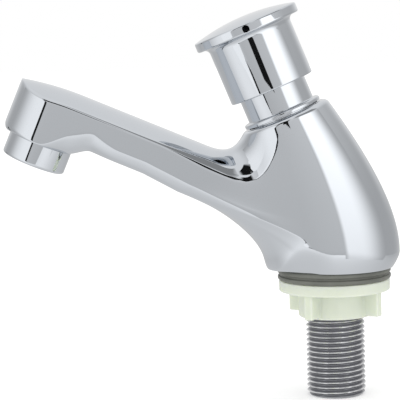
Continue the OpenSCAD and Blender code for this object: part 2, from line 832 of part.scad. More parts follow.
module cartridge_barrel() {
    groove_in_r = barrel_r - barrel_ring_d;
    half = barrel_ring_d / 2 + face_gap;
    seal_r = stem_r + stem_ring_d + 2 * slide_gap;
    seal_half = stem_ring_d / 2 + face_gap;
    color(white_plastic) on_button_axis() difference() {
        rod(barrel_r, barrel_end, barrel_top);
        rod(barrel_in_r, well_floor, barrel_top + cut);
        rod(barrel_in_r, seat_top, outlet_chamber_top);
        rod(stem_r + slide_gap, seat_top, barrel_top);
        rod(seal_r, upper_ring_at - seal_half, upper_ring_at + seal_half);
        rod(seat_d / 2, barrel_end - cut, seat_top + cut);
        for (at = [upper_ring_at, lower_ring_at])
            ring(groove_in_r, barrel_r + cut, at - half, at + half);
        for (i = [0:port_count - 1])
            rotate(360 * (i + 0.5) / port_count) translate([0, 0, port_at]) rotate([90, 0, 0])
                rod(port_d / 2, 0, barrel_r + cut);
    }
}

module barrel_orings() {
    color(dark_rubber) on_button_axis()
        for (at = [upper_ring_at, lower_ring_at])
            seal_ring(barrel_r - barrel_ring_d / 2 + seat_gap / 2, barrel_ring_d, at);
}

module stem_seal() {
    color(dark_rubber) on_button_axis()
        seal_ring(stem_r + slide_gap + stem_ring_d / 2, stem_ring_d, upper_ring_at);
}

module valve_washer() {
    color(dark_rubber) on_button_axis() ring(stem_r + seat_gap, washer_d / 2, head_top, washer_top);
}

module valve_head() {
    chamfer = 0.6;
    r = washer_d / 2;
    color(raw_brass) on_button_axis() rotate_extrude() polygon([
        [stem_r + seat_gap, stem_end],
        [r - chamfer, stem_end],
        [r, stem_end + chamfer],
        [r, head_top],
        [stem_r + seat_gap, head_top]
    ]);
}

// Aerator

module aerator_housing() {
    color(chrome) on_outlet() rotate_extrude() polygon(concat(
        [[insert_r + seat_gap, -aerator_h]],
        arc([aerator_r - aerator_edge, aerator_edge - aerator_h], aerator_edge, -90, 0),
        [[aerator_r, -face_gap], [neck_r, -face_gap], [neck_r, neck_l]],
        [[neck_bore_r, neck_l], [neck_bore_r, screen_top + face_gap]],
        [[insert_r + seat_gap, screen_top + face_gap]]
    ));
}

module aerator_insert() {
    wall = 1;
    core_r = insert_r - wall;
    holes = floor(core_r / mesh_pitch);
    reach = core_r - mesh_pitch / 2;
    hole_w = mesh_pitch - mesh_bar;
    grid_t = 2;
    color(white_plastic) on_outlet() difference() {
        rod(insert_r, insert_end, insert_top);
        rod(core_r, insert_end + grid_t, insert_top + cut);
        for (i = [-holes:holes], j = [-holes:holes])
            if (norm([i, j]) * mesh_pitch <= reach)
                translate([i * mesh_pitch, j * mesh_pitch, insert_end + grid_t / 2])
                    cube([hole_w, hole_w, grid_t + 2 * cut], center = true);
    }
}

module aerator_screen() {
    hole_r = 0.7;
    hole_rings = 3;
    color("gainsboro") on_outlet() difference() {
        rod(insert_r, insert_top + face_gap, screen_top);
        for (k = [1:hole_rings], i = [0:6 * k - 1])
            rotate(60 * i / k) translate([k * insert_r / (hole_rings + 1), 0])
                rod(hole_r, insert_top - cut, screen_top + cut);
    }
}

module aerator_washer() {
    from = neck_l + face_gap;
    color(dark_rubber) on_outlet() ring(neck_bore_r, neck_r, from, from + aerator_washer_t);
}

tap_body();
base_gasket();
inlet_shank();
shank_washer();
inlet_strainer();
back_nut();
bonnet();
bonnet_oring();
push_button();
button_set_screw();
spindle();
spindle_oring();
piston();
piston_lip_seal();
timing_jet();
piston_clip();
return_spring();
cartridge_barrel();
barrel_orings();
stem_seal();
valve_washer();
valve_head();
aerator_housing();
aerator_insert();
aerator_screen();
aerator_washer();
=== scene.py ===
"""Push timed basin tap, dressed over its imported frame.

The shapes are worked out in metres, in the frame's own axes: +Z up, the spout along -Y, and the origin at
the centre of the tap hole on the deck.
"""

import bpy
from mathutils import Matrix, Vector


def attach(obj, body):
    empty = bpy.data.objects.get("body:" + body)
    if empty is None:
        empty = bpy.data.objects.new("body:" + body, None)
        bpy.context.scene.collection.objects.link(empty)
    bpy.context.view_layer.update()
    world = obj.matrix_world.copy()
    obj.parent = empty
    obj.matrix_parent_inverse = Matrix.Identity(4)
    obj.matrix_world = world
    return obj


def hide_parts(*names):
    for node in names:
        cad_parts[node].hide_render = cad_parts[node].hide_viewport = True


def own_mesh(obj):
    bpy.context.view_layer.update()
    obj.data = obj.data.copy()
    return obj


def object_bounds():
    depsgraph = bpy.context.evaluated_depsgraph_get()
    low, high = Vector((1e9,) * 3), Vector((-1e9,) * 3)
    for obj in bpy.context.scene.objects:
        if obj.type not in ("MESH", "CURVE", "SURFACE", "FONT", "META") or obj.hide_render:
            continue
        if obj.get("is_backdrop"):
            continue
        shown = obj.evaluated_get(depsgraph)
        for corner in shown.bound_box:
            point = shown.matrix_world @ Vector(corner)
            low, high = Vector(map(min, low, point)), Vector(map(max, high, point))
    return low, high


bl_info = {
    "name": "Push timed tap",
    "version": (1, 0, 0),
    "blender": (4, 5, 0),
    "location": "3D View > Sidebar > Tap",
    "description": "Builds the surfaces, finishes, floor, light and camera of a push timed basin tap",
    "category": "Add Mesh",
}

import math
from typing import NamedTuple

import bmesh
import bpy
import numpy as np
from bpy.props import FloatProperty, FloatVectorProperty, IntProperty, PointerProperty
from bpy.types import Operator, Panel, PropertyGroup
from mathutils import Matrix, Vector

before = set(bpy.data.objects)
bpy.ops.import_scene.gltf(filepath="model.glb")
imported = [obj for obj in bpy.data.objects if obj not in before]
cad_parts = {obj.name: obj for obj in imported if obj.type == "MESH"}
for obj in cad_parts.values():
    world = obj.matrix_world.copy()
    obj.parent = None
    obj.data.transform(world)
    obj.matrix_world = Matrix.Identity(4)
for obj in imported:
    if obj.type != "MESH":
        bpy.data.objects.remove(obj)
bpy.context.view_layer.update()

MM = 0.001
# Points closer than this are one point
MERGE = 0.0005 * MM
# Edges that turn by more than this stay sharp
CREASE = math.radians(32)
# Faces round a turned piece, and from one end of a fillet to the other
TURNED = 192
FILLET_STEPS = 10
# Distance from a fillet's end to the point beside it, as a share of the fillet
BESIDE = 0.12


# Properties


def length(name, millimetres, description):
    """A length, with its default in millimetres."""
    return FloatProperty(
        name=name, description=description, default=millimetres * MM, unit="LENGTH", precision=5
    )


def angle(name, degrees, description):
    """An angle, with its default in degrees."""
    return FloatProperty(name=name, description=description, default=math.radians(degrees), subtype="ANGLE")


def number(name, default, description):
    """A plain number."""
    return FloatProperty(name=name, description=description, default=default)


def linear(hexed):
    """Linear red, green and blue of an sRGB hex colour."""
    srgb = np.array([int(hexed[i : i + 2], 16) for i in (1, 3, 5)]) / 255
    return tuple(np.where(srgb <= 0.04045, srgb / 12.92, ((srgb + 0.055) / 1.055) ** 2.4).tolist())


def colour(name, hexed, description):
    """A colour, with its default as an sRGB hex value."""
    return FloatVectorProperty(
        name=name, description=description, default=linear(hexed), subtype="COLOR", size=3, min=0, max=1
    )


class TapBodySizes(PropertyGroup):
    """Sizes of the cast body below its collar."""

    base_z: length("Base height", 4.2, "Height of the body's underside above the deck")
    base_d: length("Base diameter", 46.18, "Diameter of the body above its bottom edge")
    foot_rise: length("Foot rise", 8, "Height of the foot that draws in at the sides")
    foot_inset: length("Foot inset", 2.6, "How much that foot draws in")
    root_rise: length("Root rise", 5, "How much higher the foot climbs beside the spout's root")
    root_inset: length("Root inset", 0.9, "How much more the foot draws in there")
    heel_rise: length("Heel rise", 2.6, "Height of the foot at the back")
    heel_inset: length("Heel inset", 2, "How much the foot draws in at the back")
    lean: angle("Lean", 21.6, "Lean of the button axis from the shank axis")
    axis_crossing: length("Axis crossing", 16.2, "Height at which the button axis crosses the shank axis")
    collar_rise: length("Collar rise", 45.7, "Distance from that crossing up the button axis to the collar")
    collar_d: length("Collar diameter", 32.6, "Diameter of the collar's face")
    collar_edge: length("Collar edge", 1.8, "Rounding of the collar's shoulder")
    depth_swell: length("Depth swell", 3.9, "Swell of the body from front to back, halfway up")
    width_swell: length("Width swell", 1.2, "Swell of the body from side to side, halfway up")


class TapSpoutSizes(PropertyGroup):
    """Sizes of the rising spout and its outlet block."""

    reach: length("Reach", 103.39, "Distance of the outlet's centre in front of the shank axis")
    outlet_height: length("Outlet height", 51.7, "Height of the outlet's joint face above the deck")
    rise: angle("Rise", 23.5, "Rise of the spout from level")
    width: length("Width", 29, "Width of the spout, and diameter of its round end")
    height: length("Height", 20.7, "Height of the spout's end above the outlet face")
    crown: length("Crown", 4.2, "Crown of the spout's top face")
    droop: length("Droop", 2.3, "Fall of the top face towards the tip")
    droop_start: length("Droop start", -8, "Place along the arm at which the top face starts to fall")
    tip_fillet: length("Tip rounding", 2.5, "Rounding of the tip's bottom edge")
    recess: length("Recess", 4, "Height of the underside above the outlet face, behind the outlet")
    block_back: length("Block back", 10, "Distance from the outlet's centre to the back of its block")
    block_slope: length("Block slope", 8.5, "Length of the slope from the block up to the underside")
    block_edge: length("Block edge", 0.5, "Rounding of the block's lower edges")
    lower_edge: length("Lower edge", 5, "Rounding of the arm's lower edges")
    upper_edge: length("Upper edge", 1, "Rounding of the arm's upper edges")
    root_edge: length("Root edge", 3, "Rounding of the arm's upper edges where it leaves the flare")
    root_growth: length("Root growth", 26, "Length over which the upper edges grow to that")
    root_slant: length("Root slant", 12, "How much longer the arm's straight run is along its upper edges")
    crown_slant: length("Crown slant", 3, "How much longer the arm's straight run is along its crown")
    edge_start: length("Edge start", 0, "Distance behind the outlet at which the lower edges start to grow")
    edge_growth: length("Edge growth", 12, "Length over which the lower edges grow")
    edge_swell: length("Edge swell", 3.6, "How much larger their rounding is just behind the block")
    swell_length: length("Swell length", 16, "Length over which that swell fades")
    taper_start: length("Taper start", 38, "Distance behind the outlet where the underside starts to fall")
    taper: number("Taper", 0.1, "Fall of the underside in each unit of length")
    arm_length: length("Arm length", 52, "Straight length of the arm behind the outlet's centre")


class TapButtonSizes(PropertyGroup):
    """Sizes of the push button and the bonnet under it, with heights measured up from the collar."""

    skirt_rise: length("Skirt rise", 10.4, "Gap from the collar up to the skirt")
    skirt_in_d: length("Skirt bore", 26.8, "Inside diameter of the skirt")
    skirt_d: length("Skirt diameter", 30.7, "Outside diameter of the skirt")
    skirt_lip: length("Skirt lip", 0.5, "Rounding of the skirt's lower edge")
    skirt_fillet: length("Skirt fillet", 2, "Hollow between the skirt and the cap")
    cap_under: length("Cap underside", 32, "Height of the cap's underside")
    cap_d: length("Cap diameter", 38.4, "Diameter of the cap")
    cap_rim: length("Cap rim", 3.35, "Height of the cap's rim")
    cap_edge: length("Cap edge", 0.7, "Rounding of the cap's rim")
    cap_crown: length("Cap crown", 2.6, "Crown of the cap above its rim")
    ceiling: length("Ceiling", 31.5, "Height of the ceiling inside the skirt")
    boss_d: length("Boss diameter", 15, "Diameter of the boss that holds the spindle")
    boss_end: length("Boss end", 29.5, "Height of the boss's lower end")
    spindle_d: length("Spindle diameter", 8, "Diameter of the spindle")
    set_screw_d: length("Set screw diameter", 2.4, "Diameter of the set screw in the rim")
    ring_d: length("Ring diameter", 28.4, "Diameter of the bonnet's ring on the collar")
    ring_seat_d: length("Ring seat diameter", 24, "Diameter of the ring's foot, which rests on the collar")
    ring_gap: length("Ring gap", 0.5, "Height of the gap under the rim of the bonnet's ring")
    ring_h: length("Ring height", 2, "Height of the bonnet's ring")
    sleeve_d: length("Sleeve diameter", 24.4, "Diameter of the bonnet's sleeve")
    sleeve_h: length("Sleeve height", 23, "Height of the bonnet's sleeve")
    sleeve_edge: length("Sleeve edge", 0.7, "Rounding of the bonnet's edges")
    chamber_d: length("Chamber diameter", 18, "Bore of the timing chamber in the bonnet")
    chamber_top: length("Chamber top", 19, "Height of the chamber's top wall")
    spigot_d: length("Spigot diameter", 22.8, "Diameter of the threaded spigot in the body")
    spigot_l: length("Spigot length", 9, "Length of the threaded spigot")
    seal_d: length("Seal section", 1.4, "Section of the ring that seals the spindle")


class TapInletSizes(PropertyGroup):
    """Sizes of the gasket, the shank and the back nut."""

    gasket_d: length("Gasket diameter", 40.4, "Diameter of the rubber gasket")
    gasket_h: length("Gasket height", 4.2, "Height of the gasket")
    gasket_rib: length("Gasket rib", 1.65, "Height of each of the gasket's two ribs")
    gasket_groove: length("Gasket groove", 0.8, "Depth of the groove between the ribs")
    shank_d: length("Shank diameter", 20.955, "Diameter over the thread's crests")
    thread_pitch: length("Thread pitch", 1.814, "Pitch of the shank's thread")
    thread_depth: length("Thread depth", 1.16, "Depth of the shank's thread")
    shank_bore: length("Shank bore", 14, "Bore of the shank")
    shank_end: length("Shank end", -42, "Height of the shank's open end")
    shank_top: length("Shank top", 12.2, "Height of the shank's top inside the body")
    shank_chamfer: length("Shank chamfer", 1.2, "Chamfer at the shank's open end")
    strainer_d: length("Strainer seat", 16.5, "Diameter of the strainer's seat in the shank's top")
    strainer_z: length("Strainer seat height", 10.65, "Height of the strainer's seat")
    nut_top: length("Nut top", -0.05, "Height of the nut's top face")
    nut_h: length("Nut height", 13.2, "Height of the whole nut")
    nut_bore: length("Nut bore", 21.115, "Bore of the nut")
    flange_d: length("Flange diameter", 39.6, "Diameter of the nut's flange")
    flange_h: length("Flange height", 4, "Thickness of the nut's flange")
    hub_d: length("Hub diameter", 26, "Diameter of the nut's hub")
    wing_span: length("Wing span", 36.8, "Distance across two opposite wing tips")
    wing_t: length("Wing thickness", 3.2, "Thickness of a wing")
    wing_step: length("Wing step", 0.6, "Step from the hub's end up to the end of a wing")
    wing_root: length("Wing root", 0.8, "Fillet between a wing and the hub")
    nut_edge: length("Nut edge", 0.5, "Rounding of the nut's outer edges")
    wing_count: IntProperty(name="Wings", description="Number of wings", default=4, min=3)
    wing_turn: angle("Wing turn", 57, "Angle of the first wing from the +X side")


class TapAeratorSizes(PropertyGroup):
    """Sizes of the aerator's housing, with heights measured up from the outlet's joint face."""

    housing_d: length("Housing diameter", 23, "Diameter of the aerator's housing")
    housing_h: length("Housing height", 8.3, "Height of the housing below the spout")
    housing_edge: length("Housing edge", 1, "Rounding of the housing's bottom edge")
    insert_bore: length("Insert bore", 18.7, "Bore of the housing round its insert")
    insert_top: length("Insert top", 2.8, "Height of the ledge above the insert and its screen")
    neck_d: length("Neck diameter", 20.6, "Diameter of the threaded neck inside the spout")
    neck_bore: length("Neck bore", 16.4, "Bore of the neck")
    neck_h: length("Neck height", 8, "Length of the neck inside the spout")


class TapSpringSizes(PropertyGroup):
    """Sizes of the return spring, with heights measured up from the collar."""

    wire_d: length("Wire", 1.2, "Diameter of the wire")
    mean_d: length("Mean diameter", 12.8, "Mean diameter of the coils")
    low: length("Lower end", -20, "Height of the well's floor under the spring")
    high: length("Upper end", 9, "Height of the piston's lower face above the spring")
    gap: length("End gap", 0.05, "Gap at each end")
    turns: IntProperty(name="Turns", description="Number of turns", default=9, min=2)


class TapColours(PropertyGroup):
    """Colours of the finishes."""

    chrome: colour("Chrome", "#d4d8dd", "Chrome plate")
    # The thread's crest colour is a painted highlight, and its root colour holds oil and dust and painted
    # shade
    thread_crest_highlight: colour("Thread crest", "#f0f0f1", "Rubbed crests of the nickelled thread")
    thread_root_oil_and_shade: colour("Thread root", "#a2a3a7", "Dull roots of the nickelled thread")
    steel: colour("Steel", "#c4c3bf", "Stainless steel")
    black_steel: colour("Black steel", "#2b2b2d", "Blackened steel of the set screw")
    brass: colour("Brass", "#c7a35c", "Turned brass")
    gasket: colour("Gasket rubber", "#64665f", "Rubber of the base gasket")
    seal: colour("Seal rubber", "#1b1b1c", "Rubber of the inner seals")
    nut: colour("Nut plastic", "#dde3d4", "Undyed plastic of the back nut")
    acetal: colour("White plastic", "#e9e8e3", "Plastic of the cartridge and the aerator's insert")
    floor: colour("Floor", "#f4f4f4", "Pale floor")


class TapStage(PropertyGroup):
    """Where the camera stands, what it takes in, and the light of the room that the chrome mirrors."""

    azimuth: angle("Azimuth", 92, "Angle of the camera round the tap, from the spout's side")
    elevation: angle("Elevation", 6.24, "Angle of the camera above the horizon")
    roll: angle("Roll", -1.62, "Turn of the camera about its line of sight")
    distance: length("Distance", 678.3, "Distance from the camera to its target")
    lens: number("Lens", 170.9, "Focal length in millimetres")
    target_y: length("Target y", -47.3, "Place of the camera's target along the spout")
    target_z: length("Target z", 29.2, "Height of the camera's target")
    room_radius: length("Room radius", 700, "Radius of the grey room round the tap")
    table_radius: length("Table radius", 380, "Radius of the table that the chrome mirrors")
    room_light: number("Room light", 0.5, "Light of the room's walls")
    front_light: number("Front light", 0.66, "Light of the wall behind the camera")
    ceiling_light: number("Ceiling light", 0.9, "Light of the room's ceiling")
    backdrop_foot: number("Backdrop foot", 0.62, "Light at the backdrop's foot")
    backdrop_light: number("Backdrop light", 0.86, "Light of the backdrop above it")
    table_light: number("Table light", 0.58, "Light of the table that the chrome mirrors")
    table_glow: number("Table glow", 0.74, "Light of the table under the tap")
    floor_glow: number("Floor glow", 0.3, "Light that comes through the floor")


# Shapes


def ease(value):
    """Smooth step from 0 to 1: three squares less two cubes of the clipped value."""
    k = np.clip(value, 0, 1)
    return k * k * (3 - 2 * k)


def quarter_round(share):
    """Fall of a quarter circle of radius 1: all of it at share 0, none from share 1 on."""
    k = np.clip(share, 0, 1)
    return 1 - np.sqrt(1 - (1 - k) ** 2)


def unit(vectors):
    """The vectors, each divided by its length."""
    return vectors / np.linalg.norm(vectors, axis=-1, keepdims=True)


def side_point(aside, forward, up):
    """Points from their distance to the side, forward along the spout and up."""
    return np.stack(np.broadcast_arrays(aside, -forward, up), axis=-1)


def quads(index, wrap_rows=False):
    """Four-sided faces between neighbouring rows and columns of a grid of point numbers.

    The last column joins the first, and the last row joins the first where wrap_rows is true.
    """
    index = np.concatenate([index, index[:, :1]], axis=1)
    if wrap_rows:
        index = np.concatenate([index, index[:1]], axis=0)
    return np.stack([index[:-1, :-1], index[:-1, 1:], index[1:, 1:], index[1:, :-1]], axis=-1)


def numbered(grid):
    """The numbers of a grid's points, counted row by row."""
    rows, columns = grid.shape[:2]
    return np.arange(rows * columns).reshape(rows, columns)


def surface(points, wrap_rows=False):
    """Points and faces of the surface through a grid of points."""
    return points.reshape(-1, 3), quads(numbered(points), wrap_rows).reshape(-1, 4).tolist()


def rounded(corners, closed=True):
    """Outline through corners of (radius, height, fillet), with each corner rounded by its fillet.

    The arc starts and ends where it touches the corner's two sides, at the fillet divided by the tangent of
    half the corner's angle. Its points turn evenly from one touching radius to the other. One more point on
    each side, a little way off, keeps the straight run beyond it evenly shaded.
    """
    corners = np.array(corners, float)
    points, fillet = corners[:, :2], corners[:, 2:]
    back = unit(np.roll(points, 1, axis=0) - points)
    ahead = unit(np.roll(points, -1, axis=0) - points)
    half = np.arccos(np.clip(np.sum(back * ahead, axis=1, keepdims=True), -1, 1)) / 2
    reach = fillet / np.tan(half)
    centre = points + unit(back + ahead) * fillet / np.sin(half)
    sweep = math.pi - 2 * half[:, None]
    share = np.linspace(0, 1, FILLET_STEPS + 1)[None, :, None]
    first = (points + back * reach - centre)[:, None]
    last = (points + ahead * reach - centre)[:, None]
    turned = np.sin((1 - share) * sweep) * first + np.sin(share * sweep) * last
    before = (points + back * (reach + BESIDE * fillet))[:, None]
    after = (points + ahead * (reach + BESIDE * fillet))[:, None]
    outline = np.concatenate([before, centre[:, None] + turned / np.sin(sweep), after], axis=1)
    if not closed:
        outline[[0, -1]] = points[[0, -1], None]
    outline = outline.reshape(-1, 2)
    moved = np.linalg.norm(outline - np.roll(outline, 1, axis=0), axis=1) > MERGE
    return outline[moved]


def lathe(profile, closed):
    """Points and faces of a profile of radius and height, turned once round the z axis.

    Its ends lie on the axis, or where closed is true its last point joins its first.
    """
    around = 2 * math.pi * np.arange(TURNED) / TURNED
    radius, height = profile[:, 0, None], profile[:, 1, None]
    place = np.broadcast_arrays(radius * np.cos(around), radius * np.sin(around), height)
    return surface(np.stack(place, axis=-1), closed)


def placed(points, axis):
    """The points, carried by a matrix."""
    matrix = np.array(axis)
    return points @ matrix[:3, :3].T + matrix[:3, 3]


def closed_piece(name, points, faces):
    """An object whose mesh is one closed surface, with its doubled points merged and its faces outwards."""
    mesh = bpy.data.meshes.new(name)
    mesh.from_pydata(points, [], faces)
    shell = bmesh.new()
    shell.from_mesh(mesh)
    bmesh.ops.remove_doubles(shell, verts=shell.verts, dist=MERGE)
    bmesh.ops.recalc_face_normals(shell, faces=shell.faces)
    shell.to_mesh(mesh)
    shell.free()
    if not mesh.polygons:
        raise RuntimeError(f"{name} has no faces")
    obj = bpy.data.objects.new(name, mesh)
    bpy.context.scene.collection.objects.link(obj)
    return obj


def turned_piece(name, corners, axis, closed=True):
    """A piece whose rounded outline is turned round the z axis of a matrix."""
    points, faces = lathe(rounded(corners, closed), closed)
    return closed_piece(name, placed(points, axis), faces)


def cutter(axis, start, *steps):
    """A stepped solid that is taken out of a piece.

    It starts at a height on the axis, and each step has its radius and the height at which it ends.
    """
    radii, ends = np.array(steps).T
    radius = np.concatenate([[0], np.repeat(radii, 2), [0]])
    height = np.repeat([start, *ends], 2)
    points, faces = lathe(np.stack([radius, height], axis=1), closed=False)
    return closed_piece("cutter", placed(points, axis), faces)


def bored(obj, *cutters):
    """Takes the cutters out of a piece, and removes them."""
    for solid in cutters:
        bore = obj.modifiers.new("bore", "BOOLEAN")
        bore.operation = "DIFFERENCE"
        bore.solver = "EXACT"
        bore.object = solid
    evaluated = obj.evaluated_get(bpy.context.evaluated_depsgraph_get())
    cut_mesh = bpy.data.meshes.new_from_object(evaluated)
    whole_mesh = obj.data
    obj.modifiers.clear()
    obj.data = cut_mesh
    cut_mesh.name = whole_mesh.name
    bpy.data.meshes.remove(whole_mesh)
    for solid in cutters:
        bpy.data.meshes.remove(solid.data)
    if not cut_mesh.polygons:
        raise RuntimeError(f"nothing is left of {obj.name}")


def dress(obj, slot, body, *nodes):
    """Shades a piece smooth up to its sharp edges, finishes it, and sets it on its body for its nodes."""
    mesh = obj.data
    mesh.polygons.foreach_set("use_smooth", np.ones(len(mesh.polygons), bool))
    mesh.set_sharp_from_angle(angle=CREASE)
    mesh.materials.clear()
    mesh.materials.append(finish(slot))
    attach(obj, body)
    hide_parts(*nodes)


def button_axis(body):
    """Matrix of the button axis: its z runs up along the leaning axis from the middle of the collar."""
    up = body.axis_crossing + body.collar_rise * math.cos(body.lean)
    place = Matrix.Translation((0, -body.collar_rise * math.sin(body.lean), up))
    return place @ Matrix.Rotation(body.lean, 4, "X")


def outlet_axis(spout):
    """Matrix of the outlet: its z runs square up from the middle of the outlet's joint face."""
    place = Matrix.Translation((0, -spout.reach, spout.outlet_height))
    return place @ Matrix.Rotation(-spout.rise, 4, "X")


# Body: a plan of cells, each split into FINE by FINE faces

FINE = 4
TRUNK_ROWS = 19
TRUNK_COLUMNS = 48
WINDOW_LOW = 6
WINDOW_HIGH = 16
WINDOW_HALF = 10
FLARE_ROWS = 10
# Half angles of the window in the trunk: at its lower part, where its sides turn in, at its upper corners
WINDOW_ANGLE = math.radians(75)
TURN_ANGLE = math.radians(78)
CORNER_ANGLE = math.radians(64)
# Shares of the trunk's height at the middle of the window's lower edge, at the end of the arm's rounded
# lower edges and where the window's sides turn in, and how much higher its lower corners lie
WINDOW_BASE = 0.275
LOWER_SHARE = 0.53
TURN_SHARE = 0.95
BASE_LIFT = 0.09
# Powers by which the trunk's rows gather towards the base, and by which the foot draws in
ROW_POWER = 1.5
FOOT_POWER = 1.5
# Spans and places of the cosine of the angle round the trunk: the foot grows over FOOT_TURN from the back,
# fades over FOOT_FADE from FOOT_END on, and climbs most at FOOT_ROOT, within ROOT_SPREAD of it
FOOT_TURN = 1.2
FOOT_END = 0.3
FOOT_FADE = 0.6
FOOT_ROOT = 0.5
ROOT_SPREAD = 0.5
# Part of the collar's rounding that is left above the middle of the window's top edge
WINDOW_SHOULDER = 0.28
# Share of the window's half width between the curves of the arm's rounded upper edges
RIDGE_ACROSS = 0.8
# Share of a curve's turn from the lower edge's way to the top's, where the curves of the arm's rounded lower
# edges end and where those of its upper edges start
LOWER_CLIMB = 0.3
RIDGE_CLIMB = 0.9
# Cells of half a corner arc, the straight run and the next half arc, on a section's wide and tall sides
WIDE_CELLS = (4, 12, 4)
TALL_CELLS = (3, 4, 3)
# Cells of the straight arm, the slope, the block and the half-round tip, and the angle at which the tip ends
STATION_CELLS = (6, 4, 2, 7)
TIP_END = math.radians(84)
# Share of a section's half width that a corner's rounding may take
CORNER_SHARE = 0.7
# Pull of a flare's curve along its start and its end, in chords
FLARE_LOW_PULL = 0.8
FLARE_TOP_PULL = 1.45
FLARE_RIDGE_PULL = 2.2
FLARE_END_PULL = 1.55
# Sideways part of a curve's first direction at the window's upper corners
FLARE_SIDE = 0.4
# Step along and round the trunk by which its directions are found
FLARE_NUDGE = 0.002


def spine(body, t):
    """Centre line of the trunk at share t: a quadratic curve with its middle point at the axis crossing.

    It leaves the base upright and reaches the collar along the button axis. Gives the distance forward, the
    height and the tilt from upright.
    """
    top_forward = body.collar_rise * math.sin(body.lean)
    top_rise = body.collar_rise * math.cos(body.lean)
    start_rise = body.axis_crossing - body.base_z
    forward = t * t * top_forward
    up = body.base_z + start_rise * (2 * t - t * t) + t * t * top_rise
    tilt = np.arctan2(t * top_forward, (1 - t) * start_rise + t * top_rise)
    return forward, up, tilt


def shoulder_share(body):
    """Share of the trunk's height at which the collar's rounding starts."""
    return 1 - body.collar_edge / (2 * body.collar_rise)


def window_place(row, column):
    """Place in the window of a row and a column: its climb from 0 to 1, and its share of the half width.

    The columns of the arm's rounded upper edges gather at the window's upper corners.
    """
    rows = (WINDOW_LOW, WINDOW_LOW + TALL_CELLS[0], WINDOW_HIGH - TALL_CELLS[2], WINDOW_HIGH)
    climb = np.interp(row, rows, (0, LOWER_CLIMB, RIDGE_CLIMB, 1))
    even = np.abs(column) / WINDOW_HALF
    gathered = np.interp(even, (0, WIDE_CELLS[1] / sum(WIDE_CELLS), 1), (0, RIDGE_ACROSS, 1))
    across = np.where(even < 1, even + (gathered - even) * climb, even)
    return climb, np.sign(column) * across


def trunk_plan(body, row, column):
    """Angle round the trunk and share of its height at a row and a column of the plan.

    Rows gather towards the base by a power, and above the window they follow a sine. By the square of the
    distance to the side, the window's top falls from its middle to the start of the collar's rounding, and
    its lower edge rises towards its corners.
    """
    across = window_place(row, column)[1]
    shoulder = WINDOW_SHOULDER + (1 - WINDOW_SHOULDER) * np.minimum(1, across**2)
    top = 1 - shoulder * (1 - shoulder_share(body))
    lower, turn = WINDOW_LOW + TALL_CELLS[0], WINDOW_HIGH - TALL_CELLS[2]
    base = WINDOW_BASE + BASE_LIFT * np.minimum(1, across**2)
    low = base * (row / WINDOW_LOW) ** ROW_POWER
    side = np.interp(row, (lower, turn), (LOWER_SHARE, TURN_SHARE))
    side = side - (LOWER_SHARE - base) * np.clip((lower - row) / (lower - WINDOW_LOW), 0, 1)
    side = side + (top - TURN_SHARE) * np.clip((row - turn) / (WINDOW_HIGH - turn), 0, 1)
    over = np.maximum(0, row - WINDOW_HIGH) / (TRUNK_ROWS - WINDOW_HIGH)
    share = np.where(row < WINDOW_LOW, low, side + (1 - top) * np.sin(math.pi / 2 * over))
    half = np.interp(row, (lower, turn, WINDOW_HIGH), (WINDOW_ANGLE, TURN_ANGLE, CORNER_ANGLE))
    behind = (np.abs(column) - WINDOW_HALF) / (TRUNK_COLUMNS / 2 - WINDOW_HALF)
    phi = np.where(behind < 0, half * across, np.sign(column) * (half + (math.pi - half) * behind))
    return phi, share


def trunk(body, phi, t, edged=True):
    """Points of the trunk at angle phi round it and share t of its height.

    Its rings stand square on the spine. Their radius runs straight from base to collar, plus a swell that is
    greatest halfway. Where edged, it loses a quarter round at the collar's shoulder, and the foot, which
    draws in by a power towards the bottom. The foot is higher at the sides than at the back and under the
    spout, and highest beside the spout's root.
    """
    forward, up, tilt = spine(body, t)
    plain = (body.base_d + (body.collar_d - body.base_d) * t) / 2
    beside = ease((1 + np.cos(phi)) / FOOT_TURN) * (1 - ease((np.cos(phi) - FOOT_END) / FOOT_FADE))
    root = ease(1 - np.abs(np.cos(phi) - FOOT_ROOT) / ROOT_SPREAD)
    rise = body.heel_rise + (body.foot_rise - body.heel_rise) * beside + body.root_rise * root
    inset = body.heel_inset + (body.foot_inset - body.heel_inset) * beside + body.root_inset * root
    edges = inset * np.clip(1 - (up - body.base_z) / rise, 0, 1) ** FOOT_POWER
    edges = edges + body.collar_edge * quarter_round((1 - t) / (1 - shoulder_share(body)))
    edges = edges * edged
    bulge = 4 * t * (1 - t)
    ahead = (plain + bulge * body.depth_swell - edges) * np.cos(phi)
    aside = (plain + bulge * body.width_swell - edges) * np.sin(phi)
    return side_point(aside, forward + ahead * np.cos(tilt), up - ahead * np.sin(tilt))


def ring_plan():
    """Order of the points round a section of the arm, as edge, share along its straight run, and arc angle.

    Each of the four edges has half a corner arc, a straight run and half of the next corner's arc.
    """
    edge, share, turn = [], [], []
    for k, cells in enumerate((WIDE_CELLS, TALL_CELLS, WIDE_CELLS, TALL_CELLS)):
        first, run, last = [np.arange(c * FINE) / (c * FINE) for c in cells]
        edge.append(np.full(sum(cells) * FINE, k))
        share.append(np.concatenate([np.zeros_like(first), run, np.ones_like(last)]))
        bend = np.concatenate([first - 1, np.zeros_like(run), last])
        turn.append(math.pi * (1.5 + k / 2) + math.pi / 4 * bend)
    return np.concatenate(edge), np.concatenate(share), np.concatenate(turn)


